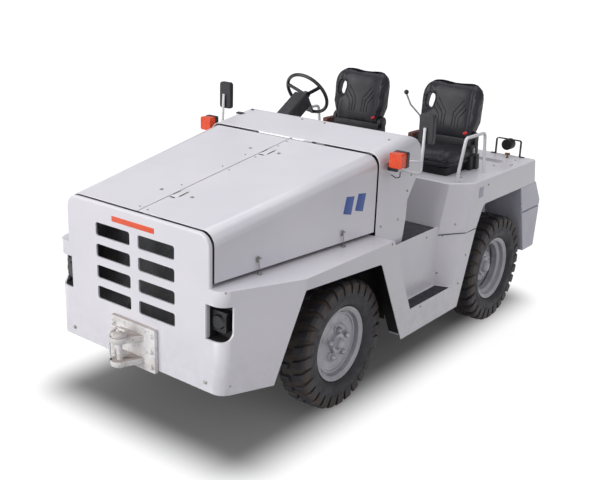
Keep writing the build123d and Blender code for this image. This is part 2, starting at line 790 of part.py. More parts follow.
axle_tube = 45
rear_drum_x = rear_disc_x - 34 - open_gap / 2
with BuildPart() as rear_axle:
    with BuildSketch(side(-rear_drum_x)):
        with Locations((rear_y, hub_z)):
            Circle(axle_tube)
    extrude(amount=2 * rear_drum_x)
    with BuildSketch(Plane.XY.offset(hub_z)) as banjo:
        with Locations((0, rear_y)):
            Circle(135)
    extrude(amount=60, both=True)
    for hand in (-1, 1):
        with BuildSketch(side(hand * (rear_drum_x - 60))):
            with Locations((rear_y, hub_z)):
                Circle(drum_radius)
        extrude(amount=hand * 60)
    with BuildSketch(side(-rear_disc_x - 10)):
        with Locations((rear_y, hub_z)):
            Circle(rear_spindle_radius)
    extrude(amount=2 * rear_disc_x + 20)
keep(rear_axle, "rear_axle")

with BuildPart() as rear_springs:
    add(spring_pair(rear_y, hub_z + axle_tube - 4))
    with BuildSketch(side(-rear_drum_x)):
        with Locations((rear_y, hub_z)):
            Circle(axle_tube + seat_gap)
    extrude(amount=2 * rear_drum_x, mode=Mode.SUBTRACT)
keep(rear_springs, "rear_springs")

ear_inner = boss_half + 3
ear_outer = ear_inner + 22
drum_x = front_disc_x - 34 - open_gap / 2
arm_height = hub_z - ear_outer + 11
tie_arm_back = 150
tie_pin_radius = 8
with BuildPart() as knuckle_left:
    for low in (-ear_outer, ear_inner):
        with BuildSketch(Plane.XY.offset(hub_z + low)):
            with Locations((kingpin_x, front_y)):
                Circle(28)
            with Locations((kingpin_x + 22, front_y)):
                Rectangle(44, 56)
        extrude(amount=ear_outer - ear_inner)
    with BuildSketch(Plane.XY.offset(hub_z - ear_outer)):
        with Locations((kingpin_x + 42, front_y)):
            Rectangle(16, 90)
    extrude(amount=2 * ear_outer)
    with BuildSketch(Plane.XY.offset(hub_z - ear_outer)):
        with Locations((kingpin_x, front_y)):
            Circle(kingpin_radius)
    extrude(amount=2 * ear_outer)
    with BuildSketch(side(kingpin_x + 50)):
        with Locations((front_y, hub_z)):
            Circle(drum_radius)
    extrude(amount=drum_x - kingpin_x - 50)
    with BuildSketch(side(kingpin_x + 50)):
        with Locations((front_y, hub_z)):
            Circle(spindle_radius)
    extrude(amount=front_disc_x + 16 - kingpin_x - 50)
    with BuildSketch(Plane.XY.offset(hub_z - ear_outer)):
        with BuildLine():
            tie_x, tie_y = kingpin_x, front_y + tie_arm_back
            Polyline((kingpin_x - 15, front_y), (kingpin_x + 15, front_y), (tie_x + 16, tie_y), (tie_x - 16, tie_y),
                     close=True)
        make_face()
        with Locations((tie_x, tie_y)):
            Circle(20)
    extrude(amount=20)
    with BuildSketch(Plane.XY.offset(hub_z - ear_outer - 1)):
        with Locations((tie_x, tie_y)):
            Circle(tie_pin_radius + pin_clearance)
    extrude(amount=30, mode=Mode.SUBTRACT)
keep(knuckle_left, "knuckle_left")

with BuildPart() as knuckle_right:
    add(mirror(knuckle_left.part, Plane.YZ, mode=Mode.PRIVATE))
keep(knuckle_right, "knuckle_right")

tie_z = hub_z - ear_outer - 26
with BuildPart() as tie_rod:
    with BuildSketch(side(-tie_x)):
        with Locations((tie_y, tie_z + 11)):
            Circle(11)
    extrude(amount=2 * tie_x)
    for hand in (-1, 1):
        with BuildSketch(Plane.XY.offset(tie_z)):
            with Locations((hand * tie_x, tie_y)):
                Circle(19)
        extrude(amount=22)
        with BuildSketch(Plane.XY.offset(tie_z)):
            with Locations((hand * tie_x, tie_y)):
                Circle(tie_pin_radius)
        extrude(amount=22 + 20)
keep(tie_rod, "tie_rod")


# Wheels: pressed rim with a welded disc, and the tyre round it
def barrel_profile(flange_x):
    """Half section of the rim's barrel: x across the wheel, r from its axis."""
    inner_x = flange_x - flange_width
    well = bead_radius - 26
    tyre_side = [(0, flange_radius), (8, flange_radius), (10, bead_radius), (38, bead_radius - 3), (50, well)]
    hub_side = [(50, well - rim_wall), (38, bead_radius - 3 - rim_wall), (12, bead_radius - rim_wall),
                (0, flange_radius - rim_wall)]
    outline = [(inner_x + x, r) for x, r in tyre_side]
    outline += [(flange_x - x, r) for x, r in reversed(tyre_side)]
    outline += [(flange_x - x, r) for x, r in reversed(hub_side)]
    outline += [(inner_x + x, r) for x, r in hub_side]
    return outline


def barrel_middle(flange_x, x):
    """Radius half way through the barrel's wall at x."""
    inward = min(flange_x - x, x - flange_x + flange_width)
    slope = min(max((inward - 38) / 12, 0), 1)
    return bead_radius - 3 - rim_wall / 2 - 23 * slope


def disc_profile(flange_x, disc_x, bore, steps):
    """Half section of disc and hub, welded into the barrel; steps go from the weld in to the bore."""
    face = [(disc_x + x, r) for x, r in steps]
    return [(disc_x, barrel_middle(flange_x, disc_x)), (disc_x + 8, barrel_middle(flange_x, disc_x + 8)), *face,
            (disc_x + steps[-1][0], bore), (disc_x - hub_depth, bore), (disc_x - hub_depth, hub_radius),
            (disc_x, hub_radius + 14)]


def tyre_section(flange_x):
    """Half section of the tyre's body, without its lugs."""
    middle = flange_x - flange_width / 2
    bead = flange_width / 2 - 11
    belly = tyre_width / 2
    outline = (
        # x from the middle, radius
        (bead, bead_radius + seat_gap),
        (bead, flange_radius),
        (belly - 8, flange_radius + 30),
        (belly - 3, flange_radius + 68),
        (belly - 10, tread_radius - 30),
        (belly - 22, tread_radius - 8),
        (belly - 40, tread_radius),
    )
    right = [(middle + x, r) for x, r in outline]
    left = [(middle - x, r) for x, r in reversed(outline)]
    return right + left


def tyre_lugs(flange_x, axle_y):
    """Two staggered rows of lugs that run from near the tread's middle over the shoulder."""
    middle = flange_x - flange_width / 2
    belly = tyre_width / 2
    outline = (
        # x from the middle, height above the axle
        (12, tread_radius - 3),
        (12, tyre_radius),
        (belly - 24, tyre_radius - 2),
        (belly - 5, tyre_radius - 16),
        (belly, tyre_radius - 64),
        (belly - 14, tyre_radius - 70),
        (belly - 30, tread_radius - 14),
    )
    section = Plane(origin=(middle, axle_y, hub_z), x_dir=(1, 0, 0), z_dir=(0, -1, 0))
    with BuildPart() as lug:
        with BuildSketch(section):
            with BuildLine():
                Polyline(*outline, close=True)
            make_face()
        extrude(amount=lug_width / 2, both=True)
    across = Plane.YZ.offset(middle)
    lugs = []
    axle = Axis((0, axle_y, hub_z), (1, 0, 0))
    for row, start_turn in ((lug.part, 0), (mirror(lug.part, across), lug_pitch / 2)):
        lugs += [row.rotate(axle, start_turn + index * lug_pitch) for index in range(lug_count)]
    return lugs


hub_depth = 34
hub_radius = 70
stud_length = 26
lug_width = 44
lug_pitch = 360 / lug_count
front_steps = (
    # forward of the disc's face, radius: rolled ring, flat dish, raised hub seat
    (8, 186), (16, 183), (16, 174), (8, 170), (8, 120), (14, 108), (14, 62), (34, 58), (34, 40),
)
rear_steps = (
    # forward of the disc's face, radius: cone down to the hub's disc, then its raised middle
    (8, 150), (30, 108), (40, 106), (40, 72), (52, 66), (52, 44),
)
wheel_sets = (
    # name, flange face, disc face, hub bore, steps, studs, circle of the studs, their radius, axle y
    ("front", front_flange_x, front_disc_x, spindle_radius, front_steps, 5, 86, 14, front_y),
    ("rear", rear_flange_x, rear_disc_x, rear_spindle_radius, rear_steps, 14, 90, 6.5, rear_y),
)
for name, flange_x, disc_x, bore, steps, studs, stud_circle, stud_radius, axle_y in wheel_sets:
    centre = Plane(origin=(0, axle_y, hub_z), x_dir=(1, 0, 0), z_dir=(0, -1, 0))
    axle = Axis((0, axle_y, hub_z), (1, 0, 0))
    stud_face = min((r, x) for x, r in steps if r >= stud_circle)[1]
    with BuildPart() as rim_left:
        with BuildSketch(centre):
            with BuildLine():
                Polyline(*barrel_profile(flange_x), close=True)
            make_face()
            with BuildLine():
                Polyline(*disc_profile(flange_x, disc_x, bore + pin_clearance, steps), close=True)
            make_face()
        revolve(axis=axle)
        with BuildSketch(side(disc_x + steps[-1][0])):
            with Locations((axle_y, hub_z)):
                Circle(steps[-1][1] - 2)
        extrude(amount=16, taper=30)
        with BuildSketch(side(disc_x + stud_face)):
            with Locations((axle_y, hub_z)):
                with PolarLocations(stud_circle, studs, start_angle=18):
                    Circle(stud_radius)
        if name == "front":
            extrude(amount=stud_length, taper=12)
        else:
            extrude(amount=-stud_length / 2, mode=Mode.SUBTRACT)
    keep(rim_left, f"rim_{name}_left")
    with BuildPart() as rim_right:
        add(mirror(rim_left.part, Plane.YZ, mode=Mode.PRIVATE))
    keep(rim_right, f"rim_{name}_right")
    with BuildPart() as tyre_left:
        with BuildSketch(centre):
            with BuildLine():
                Polyline(*tyre_section(flange_x), close=True)
            make_face()
        revolve(axis=axle)
        add(tyre_lugs(flange_x, axle_y))
    keep(tyre_left, f"tyre_{name}_left")
    with BuildPart() as tyre_right:
        add(mirror(tyre_left.part, Plane.YZ, mode=Mode.PRIVATE))
    keep(tyre_right, f"tyre_{name}_right")

# Seats: suspension bases with bellows, cushions and backrests with a hand slot at the right edge
base_width, base_depth, bellows_folds = cushion_width - 90, cushion_depth - 40, 3
fold_height = (seat_rise - 2 * seat_gap) / (2 * bellows_folds + 1)
with BuildPart() as seat_bases:
    for hand in (-1, 1):
        for fold in range(2 * bellows_folds + 1):
            inset = 14 * (fold % 2)
            with BuildSketch(Plane.XY.offset(deck_top + seat_gap + fold * fold_height)):
                with Locations((hand * seat_x, at(seat_front_back + 40 + base_depth / 2))):
                    RectangleRounded(base_width - inset, base_depth - inset, 20)
            extrude(amount=fold_height)
keep(seat_bases, "seat_bases")

cushion_top = cushion_bottom + cushion_height
for name, hand in (("left", 1), ("right", -1)):
    with BuildPart() as cushion:
        with BuildSketch(Plane.XY.offset(cushion_bottom)):
            with Locations((hand * seat_x, at(seat_front_back + cushion_depth / 2))):
                RectangleRounded(cushion_width, cushion_depth, 60)
        extrude(amount=cushion_height)
        fillet(cushion.faces().sort_by(Axis.Z)[-1].edges(), cushion_fillet)
    keep(cushion, f"seat_cushion_{name}")
    back_rise = (cushion_depth - back_start - cushion_fillet) * tan(radians(back_lean)) + seat_gap
    back_plane = Plane(origin=(hand * seat_x, at(seat_front_back + back_start), cushion_top + back_rise), x_dir=(1, 0, 0),
                       z_dir=(0, -cos(radians(back_lean)), sin(radians(back_lean))))
    with BuildPart() as backrest:
        with BuildSketch(back_plane) as shape:
            with BuildLine():
                Polyline((-back_foot / 2, 0), (back_foot / 2, 0), (back_width / 2, back_shoulder),
                         (back_width / 2, back_height), (-back_width / 2, back_height),
                         (-back_width / 2, back_shoulder), close=True)
            make_face()
            fillet(shape.vertices().group_by(Axis.Y)[-1], 120)
            fillet(shape.vertices().group_by(Axis.Y)[1], 80)
            fillet(shape.vertices().group_by(Axis.Y)[0], 40)
            with Locations((-back_width / 2 + 56, back_height * 0.62)):
                SlotOverall(108, 40, rotation=80, mode=Mode.SUBTRACT)
        extrude(amount=-back_thickness)
    keep(backrest, f"seat_back_{name}")

# Steering wheel
with BuildPart() as steering_wheel:
    with BuildSketch(Plane(origin=column_plane.origin, x_dir=(1, 0, 0), z_dir=column_plane.y_dir)):
        with Locations((wheel_radius, 0)):
            Circle(wheel_grip)
    revolve(axis=Axis(column_plane.origin, column_plane.z_dir))
    with BuildSketch(column_plane.offset(seat_gap - hub_gap)):
        Circle(26)
    extrude(amount=hub_gap - 4)
    with BuildSketch(column_plane.offset(-22)):
        for turn in (90, 210, 330):
            with Locations((wheel_radius / 2 * cos(radians(turn)), wheel_radius / 2 * sin(radians(turn)))):
                Rectangle(wheel_radius, 22, rotation=turn)
        Circle(wheel_radius - 2, mode=Mode.INTERSECT)
    extrude(amount=12)
keep(steering_wheel, "steering_wheel")

# Hand lever between the seats
lever_x, lever_radius, knob_radius = 60, 6, 17
lever_points = (
    # behind the axle, above the deck
    (61, seat_gap),
    (61, 60),
    (11, 278),
    (-139, 378),
    (-209, 468),
)
with BuildPart() as hand_lever:
    with BuildLine() as lever_path:
        FilletPolyline(*[(lever_x, at(axle_back + back), deck_top + z) for back, z in lever_points], radius=40)
    with BuildSketch(Plane(origin=lever_path.line @ 0, z_dir=lever_path.line % 0)):
        Circle(lever_radius)
    sweep(path=lever_path.line)
    with Locations(lever_path.line @ 1 + (0, 0, lever_radius)):
        Sphere(knob_radius)
keep(hand_lever, "hand_lever")


# Lamps, mirrors and hand rails, left and right in one node
def both_sides():
    mirror(about=Plane.YZ)


with BuildPart() as headlamps:
    lamp_seat = plate + housing_depth - housing_wall
    with BuildSketch(cross(lamp_seat - seat_gap)):
        with Locations((lamp_x, lamp_z)):
            RectangleRounded(headlamp_width, headlamp_height, 12)
    extrude(amount=headlamp_depth)
    with BuildSketch(cross(lamp_seat - headlamp_depth)):
        with Locations((lamp_x, lamp_z)):
            Circle(headlamp_width / 2 - 6)
    extrude(amount=14, taper=25)
    both_sides()
keep(headlamps, "headlamps")

signal_x, signal_back = half - 58, hood_length + 60
signal_z = roof(signal_back) - 30
signal_size = 92
with BuildPart() as signal_bases:
    with BuildSketch(cross(signal_back + 22)):
        with Locations((signal_x, signal_z)):
            RectangleRounded(signal_size, signal_size, 10)
    extrude(amount=-26)
    with BuildSketch(side(cowl_half)):
        with Locations((at(signal_back + 34), signal_z - signal_size / 2 - 10)):
            Rectangle(20, 44)
    extrude(amount=signal_x - 20 - cowl_half)
    both_sides()
keep(signal_bases, "signal_bases")

with BuildPart() as signal_lenses:
    with BuildSketch(cross(signal_back + 22 - seat_gap)):
        with Locations((signal_x, signal_z)):
            RectangleRounded(signal_size - 6, signal_size - 6, 12)
    extrude(amount=52)
    both_sides()
keep(signal_lenses, "signal_lenses")

mirror_x, mirror_back = half - 12, hood_length + 244
mirror_root, mirror_top = crown_z - 175, crown_z + 97
mirror_arm_radius = 9
brace_radius = 7
with BuildPart() as mirror_arms:
    with BuildLine() as arm_path:
        FilletPolyline((cowl_half + seat_gap, at(mirror_back), mirror_root), (mirror_x, at(mirror_back), mirror_root),
                       (mirror_x, at(mirror_back + 15), mirror_top), radius=24)
    with BuildSketch(Plane(origin=arm_path.line @ 0, z_dir=arm_path.line % 0)):
        Circle(mirror_arm_radius)
    sweep(path=arm_path.line)
    with BuildLine() as brace_path:
        Line((cowl_half + seat_gap, at(mirror_back + 25), mirror_root + 52), (mirror_x, at(mirror_back + 4),
                                                                             mirror_root + 72))
    with BuildSketch(Plane(origin=brace_path.line @ 0, z_dir=(1, 0, 0))):
        Circle(brace_radius)
    sweep(path=brace_path.line)
    both_sides()
keep(mirror_arms, "mirror_arms")

mirror_width, mirror_height, mirror_depth = 100, 178, 30
with BuildPart() as mirror_heads:
    with BuildSketch(cross(mirror_back + 15 + mirror_arm_radius + seat_gap)):
        with Locations((mirror_x, mirror_top - 10)):
            RectangleRounded(mirror_width, mirror_height, 20)
    extrude(amount=-mirror_depth)
    fillet(mirror_heads.faces().sort_by(Axis.Y)[0].edges(), 10)
    both_sides()
keep(mirror_heads, "mirror_heads")

rail_x, rail_radius = half - 100, 11
rail_points = (
    # ahead of the axle, above the deck
    (564, seat_gap),
    (564, 30),
    (484, 280),
    (219, 280),
    (184, 30),
    (184, seat_gap),
)
with BuildPart() as hand_rails:
    with BuildLine() as rail_path:
        FilletPolyline(*[(rail_x, at(axle_back - ahead), deck_top + z) for ahead, z in rail_points], radius=32)
    with BuildSketch(Plane(origin=rail_path.line @ 0, z_dir=rail_path.line % 0)):
        Circle(rail_radius)
    sweep(path=rail_path.line)
    both_sides()
keep(hand_rails, "hand_rails")

with BuildPart() as rear_lamp:
    hoop_back, hoop_x = axle_back + 431, half - 220
    hoop_half, hoop_top, hoop_depth, foot_length = 100, 124, 22, 28
    with BuildSketch(cross(hoop_back)) as bracket:
        with Locations((hoop_x, deck_top + hoop_top / 2 - 20)):
            RectangleRounded(2 * hoop_half, hoop_top + 40, 18)
            RectangleRounded(2 * hoop_half - 12, hoop_top + 28, 10, mode=Mode.SUBTRACT)
        with Locations((hoop_x - hoop_half - foot_length / 2, deck_top + seat_gap + 2.5),
                       (hoop_x + hoop_half + foot_length / 2, deck_top + seat_gap + 2.5)):
            Rectangle(foot_length + 8, 5)
        with Locations((hoop_x, deck_top - 50 + seat_gap)):
            Rectangle(4 * hoop_half, 100, mode=Mode.SUBTRACT)
    extrude(amount=-hoop_depth)
    with BuildSketch(cross(hoop_back - 26)):
        with Locations((hoop_x, deck_top + 84)):
            Circle(40)
    extrude(amount=-70)
keep(rear_lamp, "rear_lamp")

hitch_front_z = 508
hitch_rear_z = weight_bottom + 150
hitch_pin_radius = 15.5
ear_low, ear_high, ear_thickness = 86, 46, 32

# Tow hitches: bolted plate with two ears and an upright pin
def hitch(face_back, away, plate_height, centre_z, reach, pin_back):
    """Plate and ears that stand off face_back; away is -1 at the nose and 1 at the tail."""
    with BuildPart() as jaw:
        with BuildSketch(cross(face_back + away * seat_gap)):
            with Locations((0, centre_z)):
                Rectangle(2 * hitch_half, plate_height)
        extrude(amount=-away * hitch_plate)
        for ear_z in (centre_z - ear_low, centre_z + ear_high):
            with BuildSketch(Plane.XY.offset(ear_z)):
                with BuildLine():
                    root_y = at(face_back + away * (hitch_plate + seat_gap))
                    tip_y = at(face_back + away * (reach - 50))
                    Polyline((-90, root_y), (90, root_y), (50, tip_y), (-50, tip_y), close=True)
                make_face()
                with Locations((0, tip_y)):
                    Circle(50)
                with Locations((0, at(pin_back))):
                    Circle(hitch_pin_radius + 0.5, mode=Mode.SUBTRACT)
            extrude(amount=ear_thickness)
    return jaw


front_pin_back = 50 - front_reach
front_hitch = hitch(0, -1, 250, hitch_front_z, front_reach, front_pin_back)
keep(front_hitch, "front_hitch")
rear_face_back = body_length - hitch_seat
rear_pin_back = body_length + rear_reach - 50
rear_hitch = hitch(rear_face_back, 1, 250, hitch_rear_z, rear_reach + hitch_seat, rear_pin_back)
keep(rear_hitch, "rear_hitch")

pin_height, grip_length, grip_radius = 120, 104, 9
with BuildPart() as hitch_pins:
    for pin_back, centre_z in ((front_pin_back, hitch_front_z), (rear_pin_back, hitch_rear_z)):
        with BuildSketch(Plane.XY.offset(centre_z - 104)):
            with Locations((0, at(pin_back))):
                Circle(hitch_pin_radius)
        extrude(amount=104 + pin_height)
        with BuildSketch(Plane.XY.offset(centre_z + ear_high + ear_thickness + seat_gap)):
            with Locations((0, at(pin_back))):
                Circle(30)
        extrude(amount=16)
        with BuildSketch(side(-grip_length / 2)):
            with Locations((at(pin_back), centre_z + pin_height)):
                Circle(grip_radius)
        extrude(amount=grip_length)
keep(hitch_pins, "hitch_pins")

# Tail lamps on the sloped tail of the cover
with BuildPart() as tail_lamps:
    tail_slope = atan2(cover_rear_low_back - deck_rear_back, deck_top - cover_bottom_rear)
    tail_mid = Plane(origin=(half - 190, at((cover_rear_low_back + deck_rear_back) / 2) + seat_gap,
                             (deck_top + cover_bottom_rear) / 2), x_dir=(-1, 0, 0),
                     z_dir=(0, cos(tail_slope), sin(tail_slope)))
    with BuildSketch(tail_mid):
        RectangleRounded(170, 76, 10)
    extrude(amount=26)
    both_sides()
keep(tail_lamps, "tail_lamps")
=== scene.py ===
import math
import bmesh
import bpy
from mathutils import Matrix, Vector


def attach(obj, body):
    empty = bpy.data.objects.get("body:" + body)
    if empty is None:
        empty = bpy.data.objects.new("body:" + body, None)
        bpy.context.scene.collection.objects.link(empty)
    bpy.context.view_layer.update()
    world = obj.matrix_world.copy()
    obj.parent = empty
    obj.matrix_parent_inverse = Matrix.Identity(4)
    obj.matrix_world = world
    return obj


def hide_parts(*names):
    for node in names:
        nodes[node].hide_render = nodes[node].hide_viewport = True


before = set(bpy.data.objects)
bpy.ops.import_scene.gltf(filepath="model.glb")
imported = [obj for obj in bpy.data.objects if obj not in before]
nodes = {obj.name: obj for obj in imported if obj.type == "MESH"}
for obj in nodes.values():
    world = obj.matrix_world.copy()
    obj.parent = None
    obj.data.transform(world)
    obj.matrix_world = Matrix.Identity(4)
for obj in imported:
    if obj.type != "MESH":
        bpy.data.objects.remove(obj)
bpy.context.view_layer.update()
noseY = -1.652  # y of the nose panel's face
hubZ = 0.388  # height of the wheels' axes
frontHubY = noseY + 0.936
rearHubY = frontHubY + 1.793
print("frame loaded", len(nodes))


# Materials
def hexColour(code):
    channels = [int(code[i:i + 2], 16) / 255 for i in (0, 2, 4)]
    return [c / 12.92 if c <= 0.04045 else ((c + 0.055) / 1.055) ** 2.4 for c in channels] + [1]


def addNode(tree, kind, options=(), inputs=(), links=()):
    made = tree.nodes.new("ShaderNode" + kind)
    for name, value in dict(options).items():
        setattr(made, name, value)
    for socket, value in dict(inputs).items():
        made.inputs[socket].default_value = value
    for socket, source in dict(links).items():
        tree.links.new(source, made.inputs[socket])
    return made


def mixColour(tree, factor, first, second):
    links = {0: factor}
    inputs = {}
    for socket, value in ((6, first), (7, second)):
        if isinstance(value, list):
            inputs[socket] = value
        else:
            links[socket] = value
    return addNode(tree, "Mix", {"data_type": "RGBA"}, inputs, links).outputs[2]


def remap(tree, value, fromLow, fromHigh, toLow, toHigh):
    inputs = {"From Min": fromLow, "From Max": fromHigh, "To Min": toLow, "To Max": toHigh}
    return addNode(tree, "MapRange", inputs=inputs, links={"Value": value}).outputs[0]


def mathOf(tree, operation, *values):  # each value is a number or another node's output
    made = addNode(tree, "Math", {"operation": operation})
    for socket, value in zip(made.inputs, values):
        if isinstance(value, (int, float)):
            socket.default_value = value
        else:
            tree.links.new(value, socket)
    return made.outputs[0]


def multiply(tree, first, second):
    return mathOf(tree, "MULTIPLY", first, second)


def vectorOf(tree, operation, value, other=(0, 0, 0)):
    made = addNode(tree, "VectorMath", {"operation": operation}, {1: other}, {0: value})
    return made.outputs["Value" if operation == "LENGTH" else "Vector"]


def noiseOf(tree, place, scale, detail=5, roughness=0.55):
    inputs = {"Scale": scale, "Detail": detail, "Roughness": roughness}
    return addNode(tree, "TexNoise", inputs=inputs, links={"Vector": place}).outputs["Fac"]


def grainOf(tree, place, kind, scale, along=None):  # height pattern of a finish
    if kind in ("cells", "creases"):
        options = {"feature": "DISTANCE_TO_EDGE"}
        return addNode(tree, "TexVoronoi", options, {"Scale": scale}, {"Vector": place}).outputs["Distance"]
    if kind == "ridges":
        options = {"bands_direction": along}
        return addNode(tree, "TexWave", options, {"Scale": scale}, {"Vector": place}).outputs["Fac"]
    if kind == "brushed":
        stretched = addNode(tree, "Mapping", inputs={"Scale": along}, links={"Vector": place}).outputs[0]
        return noiseOf(tree, stretched, scale, 3)
    return noiseOf(tree, place, scale, 4)


def archShadeMaskOf(tree, place, area):  # mask of the front arch for painted shade: behind the skin, under the shelf
    x, y, z = addNode(tree, "SeparateXYZ", links={0: place}).outputs
    inside = mathOf(tree, "LESS_THAN", mathOf(tree, "ABSOLUTE", x), area["half"])
    under = mathOf(tree, "LESS_THAN", z, area["top"])
    ahead = mathOf(tree, "LESS_THAN", y, mathOf(tree, "MULTIPLY_ADD", z, area["lean"], area["edge"]))
    return multiply(tree, multiply(tree, inside, under), ahead)


def makeFinish(name, values):
    material = bpy.data.materials.new(name)
    material.use_nodes = True
    tree = material.node_tree
    shader = tree.nodes["Principled BSDF"]
    for socket, value in ({"IOR": 1.5} | values.get("shader", {})).items():
        shader.inputs[socket].default_value = value
    place = addNode(tree, "TexCoord").outputs["Object"]
    clouds = noiseOf(tree, place, values["patchScale"])
    patch = remap(tree, clouds, 0.35, 0.7, 0, 1)
    colour = mixColour(tree, patch, hexColour(values["colour"]), hexColour(values["patch"]))
    rough = remap(tree, noiseOf(tree, place, values["patchScale"] * 3.1), 0.3, 0.7, *values["roughness"])
    for dirt in values.get("dirt", ()):
        height = addNode(tree, "SeparateXYZ", links={0: place}).outputs["Z"]
        fall = remap(tree, height, dirt["low"], dirt["high"], dirt["most"], dirt["least"])
        spots = remap(tree, noiseOf(tree, place, dirt["scale"], 9, 0.7), *dirt["edge"], 0, 1)
        amount = multiply(tree, fall, spots)
        colour = mixColour(tree, amount, colour, hexColour(dirt["colour"]))
        rough = addNode(tree, "Mix", inputs={3: 0.85}, links={0: amount, 2: rough}).outputs[0]
    if "onTop" in values:  # grime on faces that look up
        normal = addNode(tree, "NewGeometry").outputs["Normal"]
        upward = remap(tree, addNode(tree, "SeparateXYZ", links={0: normal}).outputs["Z"], 0.5, 0.9, 0, 0.8)
        amount = multiply(tree, upward, remap(tree, clouds, 0.2, 0.5, 0.5, 1))
        colour = mixColour(tree, amount, colour, hexColour(values["onTop"]))
    # painted shade: the inside of the front arch, behind the skin and under the shelf, is coloured near black
    if "underseal" in values:
        area = values["underseal"]
        colour = mixColour(tree, archShadeMaskOf(tree, place, area), colour, hexColour(area["colour"]))
    tree.links.new(colour, shader.inputs["Base Color"])
    tree.links.new(rough, shader.inputs["Roughness"])
    normal = None
    for kind, scale, strength, depth, *along in values["grain"]:
        bump = addNode(tree, "Bump", {"invert": kind == "creases"}, {"Strength": strength, "Distance": depth},
                       {"Height": grainOf(tree, place, kind, scale, *along)})
        if normal:
            tree.links.new(normal, bump.inputs["Normal"])
        normal = bump.outputs[0]
    tree.links.new(normal, shader.inputs["Normal"])
    return material


roadDust = {"colour": "6E655B", "low": 0.25, "high": 0.75, "most": 0.20, "least": 0.0, "scale": 14,
            "edge": (0.42, 0.75)}


def evenSpots(colour, amount, scale, edge):  # dirt that is the same at every height
    return dict(roadDust, colour=colour, most=amount, least=amount, scale=scale, edge=edge)


